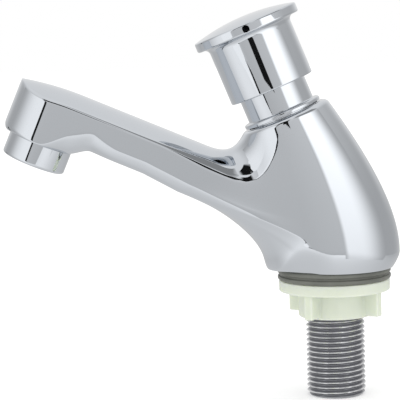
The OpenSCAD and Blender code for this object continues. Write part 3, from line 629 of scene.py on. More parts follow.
def arm_rings(spout, along):
    """Points of the spout at distances along it from the outlet's centre, one row for each ring.

    A section is a rectangle with rounded corners, as wide as the spout, or beyond the centre as wide as a
    circle there. Its bottom steps up behind the outlet block, then falls evenly, and its top droops by a
    square towards the tip. Its lower corners are widest just behind the block, and its upper corners grow
    towards the root. The crown adds a parabola across the width to all that is above half height.
    """
    half = spout.width / 2
    wide = np.where(along > 0, np.sqrt(np.maximum(half**2 - along**2, 0)), half)
    droop = np.maximum(0, along - spout.droop_start) / (half - spout.droop_start)
    top = spout.height - spout.crown - spout.droop * droop**2
    over_tip = np.maximum(0, along - half + spout.tip_fillet) / spout.tip_fillet
    bottom = spout.recess * ease((-along - spout.block_back) / spout.block_slope)
    bottom = bottom - spout.taper * np.maximum(0, -along - spout.taper_start)
    bottom = bottom + spout.tip_fillet * (1 - np.sqrt(1 - over_tip**2))
    grown = ease((-along - spout.edge_start) / spout.edge_growth)
    swell = 1 - ease((-along - spout.edge_start - spout.edge_growth) / spout.swell_length)
    low = spout.block_edge + (spout.lower_edge + spout.edge_swell * swell - spout.block_edge) * grown
    low = low + (spout.tip_fillet - spout.block_edge) * ease(along / half)
    low = np.minimum(low, CORNER_SHARE * wide)
    rooted = ease(1 - (along + spout.arm_length + spout.root_slant) / spout.root_growth)
    high = spout.upper_edge + (spout.root_edge - spout.upper_edge) * rooted
    high = np.minimum(high, CORNER_SHARE * wide)
    edge, share, turn = ring_plan()

    def corner(k):
        radius = np.where(k < 2, low, high)
        x = np.where((k == 1) | (k == 2), 1, -1) * (wide - radius) + radius * np.cos(turn)
        return x, np.where(k < 2, bottom + low, top - high) + radius * np.sin(turn)

    x0, h0 = corner(edge)
    x1, h1 = corner((edge + 1) % 4)
    x = x0 + (x1 - x0) * share
    h = h0 + (h1 - h0) * share
    middle = (top + bottom) / 2
    upper = np.maximum(0, h - middle) / (top - middle)
    h = h + spout.crown * upper**2 * (1 - (x / half) ** 2)
    forward = spout.reach + along * math.cos(spout.rise) - h * math.sin(spout.rise)
    up = spout.outlet_height + along * math.sin(spout.rise) + h * math.cos(spout.rise)
    return side_point(x, forward, up)


def window_plan():
    """Rows and columns, in faces, of the points round the window in the trunk, in a section's own order."""
    low, high, half = WINDOW_LOW * FINE, WINDOW_HIGH * FINE, WINDOW_HALF * FINE
    across = np.arange(-half, half)
    climb = np.arange(low, high)
    row = np.concatenate([np.full(2 * half, low), climb, np.full(2 * half, high), climb[::-1] + 1])
    column = np.concatenate([across, np.full(high - low, half), -across, np.full(high - low, -half)])
    return row, column


def arm_stations(spout, climb, across):
    """Distances along the spout of the points of its rings: straight arm, slope, block, and tip by a sine.

    The first ring slants back with its height, by the square of its distance to the side, and the slant
    fades evenly along the straight arm.
    """
    knots = (-spout.arm_length, -spout.block_back - spout.block_slope, -spout.block_back, 0)
    runs = [
        np.linspace(start, end, cells * FINE, endpoint=False)
        for start, end, cells in zip(knots, knots[1:], STATION_CELLS)
    ]
    tip = spout.width / 2 * np.sin(np.linspace(0, TIP_END, STATION_CELLS[-1] * FINE))
    along = np.concatenate([*runs, tip])[:, None]
    slant = climb * (spout.crown_slant + (spout.root_slant - spout.crown_slant) * across**2)
    return along - slant * np.clip((knots[1] - along) / (knots[1] - knots[0]), 0, 1)


def flare_rings(body, phi, t, climb, across, end, arm):
    """Rings from the window in the trunk to the arm's first ring, without either.

    Each point of the window starts a cubic curve, which sets off along the trunk towards the window's middle
    and arrives along the arm. Its sideways part fades by the fourth power of the climb.
    """
    start = trunk(body, phi, t)
    over = unit(start - trunk(body, phi, t - FLARE_NUDGE))
    below = trunk(body, phi, t - FLARE_NUDGE, edged=False)
    plain = unit(trunk(body, phi, t, edged=False) - below)
    upwards = unit(over + (plain - over) * across[:, None] ** 2)
    sideways = unit(trunk(body, phi + FLARE_NUDGE, t) - start)
    aside = across * (1 - (1 - FLARE_SIDE) * climb**4)
    set_off = unit((1 - 2 * climb)[:, None] * upwards - aside[:, None] * sideways)
    reach = np.linalg.norm(end - start, axis=1, keepdims=True)
    top_pull = FLARE_TOP_PULL + (FLARE_RIDGE_PULL - FLARE_TOP_PULL) * across**2
    leave = reach * (FLARE_LOW_PULL + (top_pull - FLARE_LOW_PULL) * climb)[:, None] * set_off
    arrive = reach * (FLARE_LOW_PULL + (FLARE_END_PULL - FLARE_LOW_PULL) * climb)[:, None] * arm
    k = np.arange(1, FLARE_ROWS * FINE)[:, None, None] / (FLARE_ROWS * FINE)
    return (
        (2 * k**3 - 3 * k**2 + 1) * start
        + (k**3 - 2 * k**2 + k) * leave
        + (3 * k**2 - 2 * k**3) * end
        + (k**3 - k**2) * arrive
    )


def body_skin(body, spout):
    """Points and faces of the whole cast skin: the trunk with its window left open, the flare and the arm.

    Three flat faces close it, at the base, the collar and the tip.
    """
    rows, columns = TRUNK_ROWS * FINE + 1, TRUNK_COLUMNS * FINE
    half = WINDOW_HALF * FINE
    signed = (np.arange(columns) + columns // 2) % columns - columns // 2
    trunk_points = trunk(body, *trunk_plan(body, np.arange(rows)[:, None] / FINE, signed / FINE))
    trunk_index = numbered(trunk_points)
    row, column = window_plan()
    climb, across = window_place(row / FINE, column / FINE)
    arm_points = arm_rings(spout, arm_stations(spout, climb, across))
    arm = side_point(0, math.cos(spout.rise), math.sin(spout.rise))
    plan = trunk_plan(body, row / FINE, column / FINE)
    spout_points = np.concatenate([flare_rings(body, *plan, climb, across, arm_points[0], arm), arm_points])
    first_ring = trunk_index[row, column % columns][None]
    spout_index = np.concatenate([first_ring, rows * columns + numbered(spout_points)])
    open_rows = (np.arange(rows - 1) >= WINDOW_LOW * FINE) & (np.arange(rows - 1) < WINDOW_HIGH * FINE)
    open_cells = open_rows[:, None] & (signed >= -half) & (signed < half)
    faces = quads(trunk_index)[~open_cells].tolist() + quads(spout_index).reshape(-1, 4).tolist()
    faces += [trunk_index[0].tolist(), trunk_index[-1].tolist(), spout_index[-1].tolist()]
    return np.concatenate([trunk_points.reshape(-1, 3), spout_points.reshape(-1, 3)]), faces


# Finishes

# Radii on the shank's thread at which the painted highlight on its crests begins and is whole
CREST_START = 9.95 * MM
CREST_FULL = 10.45 * MM
# The Mix node's sockets share their names, so its two colours and its result go by number
COLOUR_A = 6
COLOUR_B = 7
COLOUR_RESULT = 2


def add(tree, kind, inputs=None, **settings):
    """Adds a node with its settings, and fills each named input.

    An input takes a value, a link from a socket, or a link from a node's first output.
    """
    node = tree.nodes.new("ShaderNode" + kind)
    for key, value in settings.items():
        setattr(node, key, value)
    for key, value in (inputs or {}).items():
        if isinstance(value, bpy.types.Node):
            value = value.outputs[0]
        if isinstance(value, bpy.types.NodeSocket):
            tree.links.new(value, node.inputs[key])
        else:
            node.inputs[key].default_value = value
    return node


def blank(name):
    """The node tree of a new material, with nothing in it."""
    material = bpy.data.materials.new(name)
    material.use_nodes = True
    material.node_tree.nodes.clear()
    return material.node_tree


def polished_chrome(tree, where, colours):
    """Chrome plate over a polished casting.

    The eye sees a clean mirror. Its reflections waver a little, because the casting was buffed by hand, and
    wiping has left a faint uneven haze.
    """
    buffed = add(tree, "TexNoise", {"Vector": where, "Scale": 1 / (16 * MM), "Detail": 1.0})
    bump = add(tree, "Bump", {"Height": buffed, "Strength": 0.35, "Distance": 0.12 * MM})
    wiped = add(tree, "TexNoise", {"Vector": where, "Scale": 1 / (5 * MM), "Detail": 4.0})
    haze = add(
        tree,
        "MapRange",
        {"Value": wiped, "From Min": 0.35, "From Max": 0.7, "To Min": 0.025, "To Max": 0.06},
    )
    return add(
        tree,
        "BsdfPrincipled",
        {"Base Color": (*colours.chrome, 1), "Metallic": 1.0, "Roughness": haze, "Normal": bump},
    )


def nickelled_thread(tree, where, colours):
    """Nickel plate on a cut thread.

    The eye sees dull grey roots, which hold a film of oil and dust and carry painted shade, and thin bright
    crests, which carry a painted highlight. Distance from the shank's axis tells crest from root.
    """
    flat = add(tree, "VectorMath", {0: where, 1: (1, 1, 0)}, operation="MULTIPLY")
    radius = add(tree, "VectorMath", {0: flat}, operation="LENGTH").outputs["Value"]
    # Painted highlight on the crests and painted shade in the roots, set by distance from the axis
    crest = add(tree, "MapRange", {"Value": radius, "From Min": CREST_START, "From Max": CREST_FULL})
    stain = add(tree, "TexNoise", {"Vector": where, "Scale": 1 / (3 * MM), "Detail": 5.0})
    highlight_mask = add(tree, "Math", {0: crest, 1: stain}, operation="MULTIPLY", use_clamp=True)
    spread = add(tree, "MapRange", {"Value": highlight_mask, "From Max": 0.5})
    root_oil_and_shade_tone = (*colours.thread_root_oil_and_shade, 1)
    crest_highlight_tone = (*colours.thread_crest_highlight, 1)
    tint = add(tree, "Mix", {"Factor": spread, COLOUR_A: root_oil_and_shade_tone, COLOUR_B: crest_highlight_tone}, data_type="RGBA")
    rough = add(tree, "MapRange", {"Value": spread, "To Min": 0.3, "To Max": 0.18})
    return add(
        tree,
        "BsdfPrincipled",
        {"Base Color": tint.outputs[COLOUR_RESULT], "Metallic": 1.0, "Roughness": rough},
    )


def worked_metal(tree, where, tone, mark_mm, detail, smooth, rough):
    """A metal whose roughness wanders from smooth to rough, in marks of mark_mm."""
    marks = add(tree, "TexNoise", {"Vector": where, "Scale": 1 / (mark_mm * MM), "Detail": detail})
    haze = add(tree, "MapRange", {"Value": marks, "To Min": smooth, "To Max": rough})
    return add(tree, "BsdfPrincipled", {"Base Color": (*tone, 1), "Metallic": 1.0, "Roughness": haze})


def stainless_steel(tree, where, colours):
    """Stainless steel, drawn and punched. The eye sees a soft grey metal with a fine uneven grain."""
    return worked_metal(tree, where, colours.steel, mark_mm=0.4, detail=3.0, smooth=0.22, rough=0.42)


def blackened_steel(tree, where, colours):
    """Steel from the oil bath. The eye sees a near black metal with a soft, uneven sheen."""
    return worked_metal(tree, where, colours.black_steel, mark_mm=0.8, detail=3.0, smooth=0.3, rough=0.5)


def turned_brass(tree, where, colours):
    """Brass from the lathe. The eye sees a warm yellow metal, duller in patches where it has tarnished."""
    return worked_metal(tree, where, colours.brass, mark_mm=4, detail=4.0, smooth=0.2, rough=0.45)


def moulded_rubber(tree, where, tone, mottle_mm, roughness):
    """Rubber from a polished mould: dark, with a soft gloss and a faint bloom in patches of mottle_mm."""
    bloom = add(tree, "TexNoise", {"Vector": where, "Scale": 1 / (mottle_mm * MM), "Detail": 5.0})
    dark = (*[0.7 * c for c in tone], 1)
    pale = (*[1.4 * c for c in tone], 1)
    tint = add(tree, "Mix", {"Factor": bloom, COLOUR_A: dark, COLOUR_B: pale}, data_type="RGBA")
    rough = add(tree, "MapRange", {"Value": bloom, "To Min": roughness - 0.1, "To Max": roughness + 0.15})
    grain = add(tree, "TexNoise", {"Vector": where, "Scale": 1 / (0.5 * MM), "Detail": 2.0})
    bump = add(tree, "Bump", {"Height": grain, "Strength": 0.15, "Distance": 0.1 * MM})
    return add(
        tree,
        "BsdfPrincipled",
        {"Base Color": tint.outputs[COLOUR_RESULT], "Roughness": rough, "IOR": 1.52, "Normal": bump},
    )


def epdm_rubber(tree, where, colours):
    """The base gasket's EPDM. The eye sees a dark olive grey, wiped glossy."""
    return moulded_rubber(tree, where, colours.gasket, mottle_mm=6, roughness=0.35)


def nitrile_rubber(tree, where, colours):
    """The inner seals' nitrile. The eye sees a greased black."""
    return moulded_rubber(tree, where, colours.seal, mottle_mm=3, roughness=0.3)


def moulded_plastic(tree, where, tone, scatter_mm, roughness):
    """Undyed plastic from a mould: light goes in a little, so its edges glow, and its skin is uneven."""
    flow = add(tree, "TexNoise", {"Vector": where, "Scale": 1 / (7 * MM), "Detail": 3.0})
    dull = (*[0.93 * c for c in tone], 1)
    tint = add(tree, "Mix", {"Factor": flow, COLOUR_A: dull, COLOUR_B: (*tone, 1)}, data_type="RGBA")
    rough = add(tree, "MapRange", {"Value": flow, "To Min": roughness - 0.06, "To Max": roughness + 0.06})
    skin = add(tree, "TexNoise", {"Vector": where, "Scale": 1 / (0.6 * MM), "Detail": 2.0})
    bump = add(tree, "Bump", {"Height": skin, "Strength": 0.12, "Distance": 0.1 * MM})
    return add(
        tree,
        "BsdfPrincipled",
        {
            "Base Color": tint.outputs[COLOUR_RESULT],
            "Roughness": rough,
            "IOR": 1.5,
            "Subsurface Weight": 0.6,
            "Subsurface Radius": (1.0, 1.0, 0.75),
            "Subsurface Scale": scatter_mm * MM,
            "Normal": bump,
        },
    )


def natural_polypropylene(tree, where, colours):
    """The back nut's polypropylene. The eye sees a milky white with a green cast."""
    return moulded_plastic(tree, where, colours.nut, scatter_mm=3.0, roughness=0.38)


def white_acetal(tree, where, colours):
    """The cartridge's acetal. The eye sees a close-grained white."""
    return moulded_plastic(tree, where, colours.acetal, scatter_mm=1.0, roughness=0.32)


FINISHES = {
    "chrome_plate": polished_chrome,
    "shank_metal": nickelled_thread,
    "steel": stainless_steel,
    "black_steel": blackened_steel,
    "brass": turned_brass,
    "gasket_rubber": epdm_rubber,
    "seal_rubber": nitrile_rubber,
    "nut_plastic": natural_polypropylene,
    "white_plastic": white_acetal,
}


def finish(slot):
    """The material of a slot of the record, named for its function and made when it is first asked for."""
    make = FINISHES[slot]
    if make.__name__ not in bpy.data.materials:
        tree = blank(make.__name__)
        where = add(tree, "TexCoord").outputs["Object"]
        shader = make(tree, where, bpy.context.scene.tap_colours)
        add(tree, "OutputMaterial", {"Surface": shader})
    return bpy.data.materials[make.__name__]


# Operators

# Clearances of a fitted and of a sliding part, and how far a cutter stands past the face that it opens
FIT_GAP = 0.05 * MM
SLIDE_GAP = 0.06 * MM
PAST = 1 * MM
# Inside the body: the groove of the bonnet's seal, the cartridge's well and the pocket under it, the room
# for the shank's washer, and the ends of the water way and of the outlet's thread
SEAL_GROOVE = 1.55 * MM
SEAL_DEPTH = 1.6 * MM
WELL_R = 10.45 * MM
WELL_DEPTH = 37 * MM
POCKET_R = 8 * MM
POCKET_DEPTH = 48 * MM
WASHER_ROOM = 1.05 * MM
WATER_TOP = 19.7 * MM
OUTLET_DEPTH = 9.7 * MM
# Roundings of bores and thin edges, of the housing's upper edge, of hollows and ends, and of the gasket
BORE_EDGE = 0.2 * MM
JOINT_EDGE = 0.25 * MM
HOLLOW = 0.4 * MM
RIB_OUTER = 0.9 * MM
RIB_INNER = 0.4 * MM
RIB_GROOVE = 0.3 * MM
# Points of the crown's arc, and how many of them the rim's rounding takes up
CROWN_POINTS = 40
CROWN_SKIP = 2
# Chamfers inside the shank's open end and at the end of the nut's hub
SHANK_LIP = 0.5 * MM
HUB_CHAMFER = 0.3 * MM
# Rows up the thread for each turn, and the share of a turn that is flat on a crest or in a root
THREAD_ROWS = 14
THREAD_FLAT = 0.1
# Points of each arc or straight run of a wing's outline, and rings round the wings' lower edges
WING_POINTS = 9
WING_RINGS = 6
# Sides of the spring's wire, and its rings for each turn
WIRE_SIDES = 14
WIRE_RINGS = 40


class TAP_OT_body(Operator):
    """Builds the cast body with its bores"""

    bl_idname = "tap.body"
    bl_label = "Body"

    def execute(self, context):
        scene = context.scene
        body, spout, button, inlet = scene.tap_body, scene.tap_spout, scene.tap_button, scene.tap_inlet
        skin = closed_piece("body_skin", *body_skin(body, spout))
        spigot_r = button.spigot_d / 2 + FIT_GAP
        valve = cutter(
            button_axis(body),
            PAST,
            (spigot_r + SEAL_GROOVE, -SEAL_DEPTH),
            (spigot_r, -button.spigot_l),
            (WELL_R, -WELL_DEPTH),
            (POCKET_R, -POCKET_DEPTH),
        )
        socket = cutter(
            Matrix(),
            body.base_z - PAST,
            (inlet.shank_d / 2 + FIT_GAP, inlet.shank_top + WASHER_ROOM),
            (inlet.shank_bore / 2, WATER_TOP),
        )
        outlet_r = scene.tap_aerator.neck_d / 2 + FIT_GAP
        outlet = cutter(outlet_axis(spout), -PAST, (outlet_r, OUTLET_DEPTH))
        bored(skin, valve, socket, outlet)
        dress(skin, "chrome_plate", "tap", "tap_body")
        return {"FINISHED"}


class TAP_OT_button(Operator):
    """Builds the push button with its rim, crown and screw hole"""

    bl_idname = "tap.button"
    bl_label = "Push button"

    def execute(self, context):
        button = context.scene.tap_button
        axis = button_axis(context.scene.tap_body)
        socket_r = button.spindle_d / 2 + FIT_GAP
        cap_r = button.cap_d / 2
        rim_top = button.cap_under + button.cap_rim
        # The crown is an arc through the rim's top edge and the cap's middle
        crown_r = (cap_r**2 + button.cap_crown**2) / (2 * button.cap_crown)
        fall = np.linspace(math.asin(cap_r / crown_r), 0, CROWN_POINTS)[CROWN_SKIP:]
        crown_z = rim_top + button.cap_crown - crown_r * (1 - np.cos(fall))
        corners = [
            (0, rim_top + FIT_GAP, 0),
            (socket_r, rim_top + FIT_GAP, 0),
            (socket_r, button.boss_end, 0),
            (button.boss_d / 2, button.boss_end, 0),
            (button.boss_d / 2, button.ceiling, 0),
            (button.skirt_in_d / 2, button.ceiling, 0),
            (button.skirt_in_d / 2, button.skirt_rise, BORE_EDGE),
            (button.skirt_d / 2, button.skirt_rise, button.skirt_lip),
            (button.skirt_d / 2, button.cap_under, button.skirt_fillet),
            (cap_r, button.cap_under, button.cap_edge),
            (cap_r, rim_top, button.cap_edge),
            *np.stack([crown_r * np.sin(fall), crown_z, 0 * fall], axis=1),
        ]
        cap = turned_piece("button_cap", corners, axis, closed=False)
        rim_middle = Matrix.Translation((0, 0, button.cap_under + button.cap_rim / 2))
        across = rim_middle @ Matrix.Rotation(math.pi / 2, 4, "Y")
        bored(cap, cutter(axis @ across, 0, (button.set_screw_d / 2 + FIT_GAP, cap_r + PAST)))
        dress(cap, "chrome_plate", "button", "push_button")
        return {"FINISHED"}


class TAP_OT_bonnet(Operator):
    """Builds the bonnet's ring, sleeve and chamber"""

    bl_idname = "tap.bonnet"
    bl_label = "Bonnet"

    def execute(self, context):
        button = context.scene.tap_button
        hole_r = button.spindle_d / 2 + SLIDE_GAP
        groove_r = hole_r + button.seal_d + SLIDE_GAP
        groove_low = (button.chamber_top + button.sleeve_h - button.seal_d) / 2 - SLIDE_GAP
        groove_high = groove_low + button.seal_d + 2 * SLIDE_GAP
        edge = button.sleeve_edge
        corners = [
            (button.chamber_d / 2, -button.spigot_l, 0),
            (button.spigot_d / 2, -button.spigot_l, edge),
            (button.spigot_d / 2, 0, 0),
            (button.ring_seat_d / 2, 0, 0),
            (button.ring_seat_d / 2, button.ring_gap, 0),
            (button.ring_d / 2, button.ring_gap, BORE_EDGE),
            (button.ring_d / 2, button.ring_h, edge),
            (button.sleeve_d / 2, button.ring_h, HOLLOW),
            (button.sleeve_d / 2, button.sleeve_h, edge),
            (hole_r, button.sleeve_h, BORE_EDGE),
            (hole_r, groove_high, 0),
            (groove_r, groove_high, 0),
            (groove_r, groove_low, 0),
            (hole_r, groove_low, 0),
            (hole_r, button.chamber_top, 0),
            (button.chamber_d / 2, button.chamber_top, 0),
        ]
        sleeve = turned_piece("bonnet_sleeve", corners, button_axis(context.scene.tap_body))
        dress(sleeve, "chrome_plate", "tap", "bonnet")
        return {"FINISHED"}


class TAP_OT_aerator(Operator):
    """Builds the aerator's housing"""

    bl_idname = "tap.aerator"
    bl_label = "Aerator"

    def execute(self, context):
        aerator = context.scene.tap_aerator
        corners = [
            (aerator.insert_bore / 2, -aerator.housing_h, BORE_EDGE),
            (aerator.housing_d / 2, -aerator.housing_h, aerator.housing_edge),
            (aerator.housing_d / 2, -FIT_GAP, JOINT_EDGE),
            (aerator.neck_d / 2, -FIT_GAP, 0),
            (aerator.neck_d / 2, aerator.neck_h, HOLLOW),
            (aerator.neck_bore / 2, aerator.neck_h, 0),
            (aerator.neck_bore / 2, aerator.insert_top, 0),
            (aerator.insert_bore / 2, aerator.insert_top, 0),
        ]
        housing = turned_piece("aerator_shell", corners, outlet_axis(context.scene.tap_spout))
        dress(housing, "chrome_plate", "tap", "aerator_housing")
        return {"FINISHED"}


class TAP_OT_gasket(Operator):
    """Builds the ribbed base gasket"""

    bl_idname = "tap.gasket"
    bl_label = "Base gasket"

    def execute(self, context):
        inlet = context.scene.tap_inlet
        outer = inlet.gasket_d / 2
        inner = inlet.shank_d / 2 + FIT_GAP
        groove = outer - inlet.gasket_groove
        top = inlet.gasket_h
        corners = [
            (inner, 0, 0),
            (outer, 0, RIB_OUTER),
            (outer, inlet.gasket_rib, RIB_INNER),
            (groove, inlet.gasket_rib, RIB_GROOVE),
            (groove, top - inlet.gasket_rib, RIB_GROOVE),
            (outer, top - inlet.gasket_rib, RIB_INNER),
            (outer, top, RIB_OUTER),
            (inner, top, 0),
        ]
        dress(turned_piece("gasket_ring", corners, Matrix()), "gasket_rubber", "tap", "base_gasket")
        return {"FINISHED"}


class TAP_OT_shank(Operator):
    """Builds the shank with its helical thread"""

    bl_idname = "tap.shank"
    bl_label = "Inlet shank"

    def execute(self, context):
        inlet = context.scene.tap_inlet
        crest_r = inlet.shank_d / 2
        rows = int((inlet.shank_top - inlet.shank_end) / inlet.thread_pitch * THREAD_ROWS)
        around = np.arange(TURNED // 2) / (TURNED // 2)
        height = np.linspace(inlet.shank_end, inlet.shank_top, rows)[:, None]
        # The tooth is a ridge between neighbouring roots, cut flat on top and below, and it climbs by one
        # pitch in each turn. The chamfer caps its radius near the open end.
        ridge = np.abs(2 * ((height / inlet.thread_pitch - around) % 1) - 1)
        tooth = np.clip((ridge - THREAD_FLAT) / (1 - 2 * THREAD_FLAT), 0, 1)
        radius = crest_r - inlet.thread_depth * (1 - tooth)
        radius = np.minimum(radius, crest_r - inlet.shank_chamfer + height - inlet.shank_end)
        bore = inlet.shank_bore / 2
        inside = np.array(
            [
                (inlet.strainer_d / 2, inlet.shank_top),
                (inlet.strainer_d / 2, inlet.strainer_z),
                (bore, inlet.strainer_z),
                (bore, inlet.shank_end + SHANK_LIP),
                (bore + SHANK_LIP, inlet.shank_end),
            ]
        )
        ones = np.ones_like(around)
        radius = np.concatenate([radius, inside[:, :1] * ones])
        height = np.concatenate([height * ones, inside[:, 1:] * ones])
        turn = 2 * math.pi * around
        points = np.stack([radius * np.cos(turn), radius * np.sin(turn), height], axis=-1)
        shank = closed_piece("threaded_shank", *surface(points, wrap_rows=True))
        dress(shank, "shank_metal", "tap", "inlet_shank")
        return {"FINISHED"}


def wing_outline(inlet):
    """Outline of the nut's hub and wings, seen along its axis.

    Each wing is a tab with rounded tip corners. A fillet of the root's radius touches the hub's circle and
    the tab's side: its centre is one root radius outside both.
    """
    hub = inlet.hub_d / 2
    half = inlet.wing_t / 2
    root = inlet.wing_root
    tip = inlet.wing_span / 2
    corner = inlet.nut_edge
    centre = np.array([math.sqrt((hub + root) ** 2 - (half + root) ** 2), half + root])
    start = math.atan2(centre[1], centre[0])
    sector = math.pi / inlet.wing_count
    steps = np.linspace(0, 1, WING_POINTS)[:, None]
    side = np.linspace(0, 1, WING_POINTS, endpoint=False)[1:, None]

    def arc(middle, radius, first, last):
        turn = first + (last - first) * steps
        return middle + radius * np.concatenate([np.cos(turn), np.sin(turn)], axis=1)

    tip_corner = arc(np.array([tip - corner, half - corner]), corner, 0, math.pi / 2)
    fillet = arc(centre, root, -math.pi / 2, start - math.pi)
    run = tip_corner[-1] + (fillet[0] - tip_corner[-1]) * side
    hub_arc = arc(np.zeros(2), hub, start, sector)[1:-1]
    upper = np.concatenate([[[tip, 0]], tip_corner, run, fillet, hub_arc])
    lower = (upper * (1, -1))[:0:-1]
    last = hub * np.array([[math.cos(sector), math.sin(sector)]])
    wing = np.concatenate([lower, upper, last])
    turns = inlet.wing_turn + 2 * sector * np.arange(inlet.wing_count)
    cos, sin = np.cos(turns)[:, None], np.sin(turns)[:, None]
    x, y = wing[:, 0], wing[:, 1]
    return np.stack([x * cos - y * sin, x * sin + y * cos], axis=-1).reshape(-1, 2)


def outline_normals(outline):
    """Outward directions of a closed anticlockwise outline: its own direction, turned a quarter back."""
    along = unit(np.roll(outline, -1, axis=0) - np.roll(outline, 1, axis=0))
    return np.stack([along[:, 1], -along[:, 0]], axis=-1)


class TAP_OT_back_nut(Operator):
    """Builds the winged back nut"""

    bl_idname = "tap.back_nut"
    bl_label = "Back nut"

    def execute(self, context):
        inlet = context.scene.tap_inlet
        outline = wing_outline(inlet)
        edge = inlet.nut_edge
        bore = inlet.nut_bore / 2
        flange = inlet.flange_d / 2
        hub = inlet.hub_d / 2
        top = inlet.nut_top
        under = top - inlet.flange_h
        end = top - inlet.nut_h
        wing_end = end + inlet.wing_step
        # Rings from the bore's top, out over the flange, in to the winged outline, down it and to the bore.
        # The winged outline takes the place of the rim's last corner.
        turn = np.unwrap(np.arctan2(outline[:, 1], outline[:, 0]))
        circle = np.stack([np.cos(turn), np.sin(turn)], axis=-1)
        rim = rounded([(bore, top, 0), (flange, top, edge), (flange, under, edge), (hub, under, 0)])[:-1]
        lower_r = np.array([hub, hub, hub - HUB_CHAMFER, bore + HUB_CHAMFER, bore])
        lower_z = np.array([wing_end, end + HUB_CHAMFER, end, end, end + HUB_CHAMFER])
        # The wings' lower edges are rounded off, while the hub's wall between them runs straight down
        sink = np.linspace(0, math.pi / 2, WING_RINGS)
        inset = edge * (1 - np.cos(sink))
        foot_z = wing_end + edge * (1 - np.sin(sink))
        on_wing = ease((np.linalg.norm(outline, axis=1) - hub) / inlet.wing_root)
        inward = outline_normals(outline) * on_wing[:, None]
        flat = np.concatenate(
            [
                rim[:, :1, None] * circle,
                outline[None],
                outline - inward * inset[:, None, None],
                lower_r[:, None, None] * circle,
            ]
        )
        height = np.concatenate([rim[:, 1], [under], foot_z, lower_z])
        height = height[:, None, None] * np.ones_like(flat[..., :1])
        points = np.concatenate([flat, height], axis=-1)
        nut = closed_piece("winged_nut", *surface(points, wrap_rows=True))
        dress(nut, "nut_plastic", "nut", "back_nut")
        return {"FINISHED"}


class TAP_OT_spring(Operator):
    """Builds the return spring"""

    bl_idname = "tap.spring"
    bl_label = "Return spring"

    def execute(self, context):
        spring = context.scene.tap_spring
        axis = button_axis(context.scene.tap_body)
        wire = spring.wire_d / 2
        low = spring.low + wire + spring.gap
        high = spring.high - wire - spring.gap
        share = np.linspace(0, 1, WIRE_RINGS * spring.turns + 1)[:, None]
        turn = 2 * math.pi * spring.turns * share
        climb = math.atan2((high - low) / spring.turns, math.pi * spring.mean_d)
        section = 2 * math.pi * np.arange(WIRE_SIDES) / WIRE_SIDES
        # A helix of the mean radius, with a circle of the wire's radius square to its direction
        out = spring.mean_d / 2 + wire * np.cos(section)
        lift = wire * np.sin(section)
        points = np.stack(
            [
                out * np.cos(turn) + lift * math.sin(climb) * np.sin(turn),
                out * np.sin(turn) - lift * math.sin(climb) * np.cos(turn),
                low + (high - low) * share + lift * math.cos(climb),
            ],
            axis=-1,
        )
        index = numbered(points)
        sides = surface(points)
        ends = [index[0].tolist(), index[-1].tolist()]
        coil = closed_piece("spring_coil", placed(sides[0], axis), sides[1] + ends)
        dress(coil, "steel", "tap", "return_spring")
        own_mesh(coil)
        return {"FINISHED"}


class TAP_OT_inner_parts(Operator):
    """Gives the valve, cartridge and other carried-over solids their finishes"""

    bl_idname = "tap.inner_parts"
    bl_label = "Inner parts"

    nodes = {
        "seal_rubber": (
            "bonnet_oring",
            "spindle_oring",
            "piston_lip_seal",
            "barrel_orings",
            "stem_seal",
            "valve_washer",
            "aerator_washer",
            "shank_washer",
        ),
        "steel": ("inlet_strainer", "piston_clip", "aerator_screen"),
        "black_steel": ("button_set_screw",),
        "brass": ("spindle", "timing_jet", "valve_head"),
        "white_plastic": ("piston", "cartridge_barrel", "aerator_insert"),
    }

    def execute(self, context):
        for slot, names in self.nodes.items():
            for name in names:
                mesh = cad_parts[name].data
                mesh.materials.clear()
                mesh.materials.append(finish(slot))
        return {"FINISHED"}


# Stage

# Half width of the floor and the camera's reach in metres, and the width of its sensor in millimetres
FLOOR_HALF = 3.0
SENSOR_MM = 36
FAR_CLIP = 20
# Degrees between the room's columns and between its rows, and the climb of its lowest row
ROOM_TURN = 2
ROOM_STEP = 3
ROOM_LOW = -36
# Changes in the room's light, in degrees: round from the camera's side, up to the ceiling, up the backdrop
# and round to the backdrop
FRONT_END = 95
FRONT_FADE = 35
CEILING_START = 15
CEILING_FADE = 45
BACKDROP_START = 4
BACKDROP_FADE = 10
BACKDROP_EDGE = 115
BACKDROP_TURN = 45
# Rings of the table, the root of the innermost one's share of its radius, and the share where its glow ends
TABLE_RINGS = 24
TABLE_MIDDLE = 0.01
GLOW_END = 0.7
# Columns of a card
CARD_COLUMNS = 96


class Card(NamedTuple):
    """An upright card that the chrome mirrors.

    It runs from start to end and fades at both, in degrees from the camera's own azimuth. Its distance and
    the heights of its foot and its head are in millimetres, and its head is turned by lean degrees.
    """

    start: float
    end: float
    start_fade: float
    end_fade: float
    foot_light: float
    head_light: float
    distance: float
    low: float
    high: float
    lean: float = 0


class Patch(NamedTuple):
    """A bright patch on the table, with its azimuth from the camera's own and its spread in degrees."""

    light: float
    azimuth: float
    spread: float


